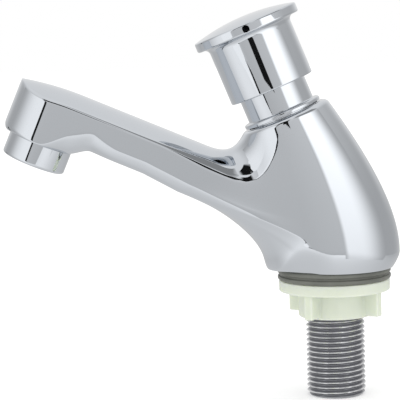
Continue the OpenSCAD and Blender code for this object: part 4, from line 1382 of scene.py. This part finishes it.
class TAP_OT_stage(Operator):
    """Sets up the pale floor, the soft light and the camera"""

    bl_idname = "tap.stage"
    bl_label = "Stage"

    cards = {
        "right_softbox": Card(31, 86, 6, 32, 0.92, 1.68, 155, -40, 135),
        "left_softbox": Card(-108, -31, 60, 1, 1.2, 1.1, 563, -220, 400),
        "softbox_back_edge": Card(-126, -119, 1, 1, 0.05, 0.05, 560, -220, 60),
        "softbox_edge_foot": Card(-32.6, -27, 0.5, 0.5, 0.01, 0.01, 560, -220, -56),
        "softbox_edge": Card(-32.6, -27, 0.5, 0.5, 0.01, 0.01, 560, 14, 400),
        "front_card": Card(-27.6, 40, 1, 1, 0.56, 0.8, 470, -120, 300),
        "lens_card": Card(9.6, 23, 0.5, 0.5, 0.01, 0.01, 78.5, 65.8, 91, 5.2),
        "light_boom": Card(-38, 4, 8, 8, 0.01, 0.01, 200, 150, 265),
        "light_hood": Card(10, 90, 12, 10, 0.3, 0.3, 205, 200, 440),
    }
    patches = (Patch(0.55, 25, 85), Patch(0.5, -55, 55))

    def execute(self, context):
        scene = context.scene
        stage = scene.tap_stage
        self.add_floor(scene, stage)
        self.add_room(scene, stage)
        world = bpy.data.worlds.new("studio")
        world.use_nodes = True
        world.node_tree.nodes["Background"].inputs["Color"].default_value = (1, 1, 1, 1)
        world.cycles_visibility.glossy = False
        scene.world = world
        scene.view_settings.view_transform = "Standard"
        self.add_camera(scene, stage)
        return {"FINISHED"}

    def add_floor(self, scene, stage):
        """Adds the pale floor under the tap's lowest point."""
        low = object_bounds()[0].z
        corners = [(x * FLOOR_HALF, y * FLOOR_HALF, low) for x, y in ((-1, -1), (1, -1), (1, 1), (-1, 1))]
        mesh = bpy.data.meshes.new("floor")
        mesh.from_pydata(corners, [], [(0, 1, 2, 3)])
        tone = (*scene.tap_colours.floor, 1)
        tree = blank("floor_paper")
        shader = add(
            tree,
            "BsdfPrincipled",
            {
                "Base Color": tone,
                "Roughness": 0.8,
                "Specular IOR Level": 0.0,
                "Emission Color": tone,
                "Emission Strength": stage.floor_glow,
            },
        )
        add(tree, "OutputMaterial", {"Surface": shader})
        mesh.materials.append(bpy.data.materials["floor_paper"])
        floor = bpy.data.objects.new("floor", mesh)
        floor.visible_glossy = False
        scene.collection.objects.link(floor)
        floor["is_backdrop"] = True

    def add_room(self, scene, stage):
        """Adds the grey room and the cards in it, which only reflections show.

        The room is a dome round a table. Its light rises from the walls to the ceiling, and again behind the
        tap. The table is brighter in front of each softbox. A card is part of an upright cylinder, and its
        light fades into the room's from each end.
        """
        tree = blank("lit_cloth")
        strength = add(tree, "Attribute", attribute_name="light").outputs["Fac"]
        add(tree, "OutputMaterial", {"Surface": add(tree, "Emission", {"Strength": strength})})
        middle = np.array([0, stage.target_y, 0])

        def upright(azimuth, radius, height):
            turn = stage.azimuth + np.radians(azimuth)
            place = np.broadcast_arrays(radius * np.sin(turn), -radius * np.cos(turn), height)
            return middle + np.stack(place, axis=-1)

        def walls(azimuth):
            ahead = ease((FRONT_END - np.abs(azimuth)) / FRONT_FADE)
            return stage.room_light + (stage.front_light - stage.room_light) * ahead

        azimuth = np.arange(-180, 180, ROOM_TURN)
        climb = np.arange(ROOM_LOW, 91, ROOM_STEP)[:, None]
        above = ease((climb - CEILING_START) / CEILING_FADE)
        light = walls(azimuth) + (stage.ceiling_light - walls(azimuth)) * above
        backdrop = ease((climb - BACKDROP_START) / BACKDROP_FADE)
        backdrop = stage.backdrop_foot + (stage.backdrop_light - stage.backdrop_foot) * backdrop
        light = light + (backdrop - light) * ease((np.abs(azimuth) - BACKDROP_EDGE) / BACKDROP_TURN)
        climb = np.radians(climb)
        points = upright(azimuth, stage.room_radius * np.cos(climb), stage.room_radius * np.sin(climb))
        self.add_lit_surface(scene, "room", points, light, quads(numbered(points)))

        out = np.linspace(TABLE_MIDDLE, 1, TABLE_RINGS)[:, None] ** 2
        patches = sum(p.light * ease(1 - np.abs(azimuth - p.azimuth) / p.spread) for p in self.patches)
        light = stage.table_light + patches - stage.table_glow
        light = stage.table_glow + light * ease(out / GLOW_END)
        points = upright(azimuth, stage.table_radius * out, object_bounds()[0].z)
        self.add_lit_surface(scene, "table", points, light, quads(numbered(points)))

        for name, card in self.cards.items():
            azimuth = np.linspace(card.start, card.end, CARD_COLUMNS)
            fade = ease((azimuth - card.start) / card.start_fade)
            fade = fade * ease((card.end - azimuth) / card.end_fade)
            own_light = np.array([[card.foot_light], [card.head_light]])
            light = walls(azimuth) + (own_light - walls(azimuth)) * fade
            leaned = azimuth - np.array([[0], [card.lean]])
            points = upright(leaned, card.distance * MM, np.array([[card.low * MM], [card.high * MM]]))
            self.add_lit_surface(scene, name, points, light, quads(numbered(points))[:, :-1])

    def add_lit_surface(self, scene, name, points, light, faces):
        """Adds a stage surface whose own light stands in its points, and which only reflections show."""
        mesh = bpy.data.meshes.new(name)
        mesh.from_pydata(points.reshape(-1, 3), [], faces.reshape(-1, 4).tolist())
        mesh.attributes.new("light", "FLOAT", "POINT").data.foreach_set("value", light.ravel())
        mesh.materials.append(bpy.data.materials["lit_cloth"])
        lit = bpy.data.objects.new(name, mesh)
        lit.visible_camera = False
        lit.visible_diffuse = False
        lit.visible_transmission = False
        lit.visible_volume_scatter = False
        lit.visible_shadow = False
        scene.collection.objects.link(lit)
        lit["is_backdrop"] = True

    def add_camera(self, scene, stage):
        """Adds the camera: it looks from its azimuth and elevation at the target, turned by its roll."""
        a, e, r = stage.azimuth, stage.elevation, stage.roll
        back = Vector((math.sin(a) * math.cos(e), -math.cos(a) * math.cos(e), math.sin(e)))
        right = Vector((math.cos(a), math.sin(a), 0))
        up = back.cross(right)
        right, up = math.cos(r) * right + math.sin(r) * up, math.cos(r) * up - math.sin(r) * right
        turn = Matrix((right, up, back)).transposed().to_4x4()
        data = bpy.data.cameras.new("camera")
        data.lens = stage.lens
        data.sensor_width = SENSOR_MM
        data.clip_end = FAR_CLIP
        camera = bpy.data.objects.new("camera", data)
        target = Vector((0, stage.target_y, stage.target_z))
        camera.matrix_world = Matrix.Translation(target + back * stage.distance) @ turn
        scene.collection.objects.link(camera)
        scene.camera = camera


OPERATORS = (
    TAP_OT_body,
    TAP_OT_button,
    TAP_OT_bonnet,
    TAP_OT_aerator,
    TAP_OT_gasket,
    TAP_OT_shank,
    TAP_OT_back_nut,
    TAP_OT_spring,
    TAP_OT_inner_parts,
    TAP_OT_stage,
)
GROUPS = {
    "tap_body": TapBodySizes,
    "tap_spout": TapSpoutSizes,
    "tap_button": TapButtonSizes,
    "tap_inlet": TapInletSizes,
    "tap_aerator": TapAeratorSizes,
    "tap_spring": TapSpringSizes,
    "tap_colours": TapColours,
    "tap_stage": TapStage,
}


class TAP_PT_tap(Panel):
    """Lists the tap's pieces and their sizes"""

    bl_idname = "TAP_PT_tap"
    bl_label = "Push timed tap"
    bl_space_type = "VIEW_3D"
    bl_region_type = "UI"
    bl_category = "Tap"

    def draw(self, context):
        for operator in OPERATORS:
            self.layout.operator(operator.bl_idname)
        for name, group in GROUPS.items():
            box = self.layout.box()
            for key in group.__annotations__:
                box.prop(getattr(context.scene, name), key)


def register():
    """Registers the groups, the operators and the panel."""
    for cls in (*GROUPS.values(), *OPERATORS, TAP_PT_tap):
        bpy.utils.register_class(cls)
    for name, group in GROUPS.items():
        setattr(bpy.types.Scene, name, PointerProperty(type=group))


def unregister():
    """Takes them out again."""
    for name in GROUPS:
        delattr(bpy.types.Scene, name)
    for cls in (TAP_PT_tap, *reversed(OPERATORS), *reversed(list(GROUPS.values()))):
        bpy.utils.unregister_class(cls)


def main():
    """Builds every piece and the stage."""
    register()
    bpy.ops.tap.body()
    bpy.ops.tap.button()
    bpy.ops.tap.bonnet()
    bpy.ops.tap.aerator()
    bpy.ops.tap.gasket()
    bpy.ops.tap.shank()
    bpy.ops.tap.back_nut()
    bpy.ops.tap.spring()
    bpy.ops.tap.inner_parts()
    bpy.ops.tap.stage()


if __name__ == "__main__":
    main()
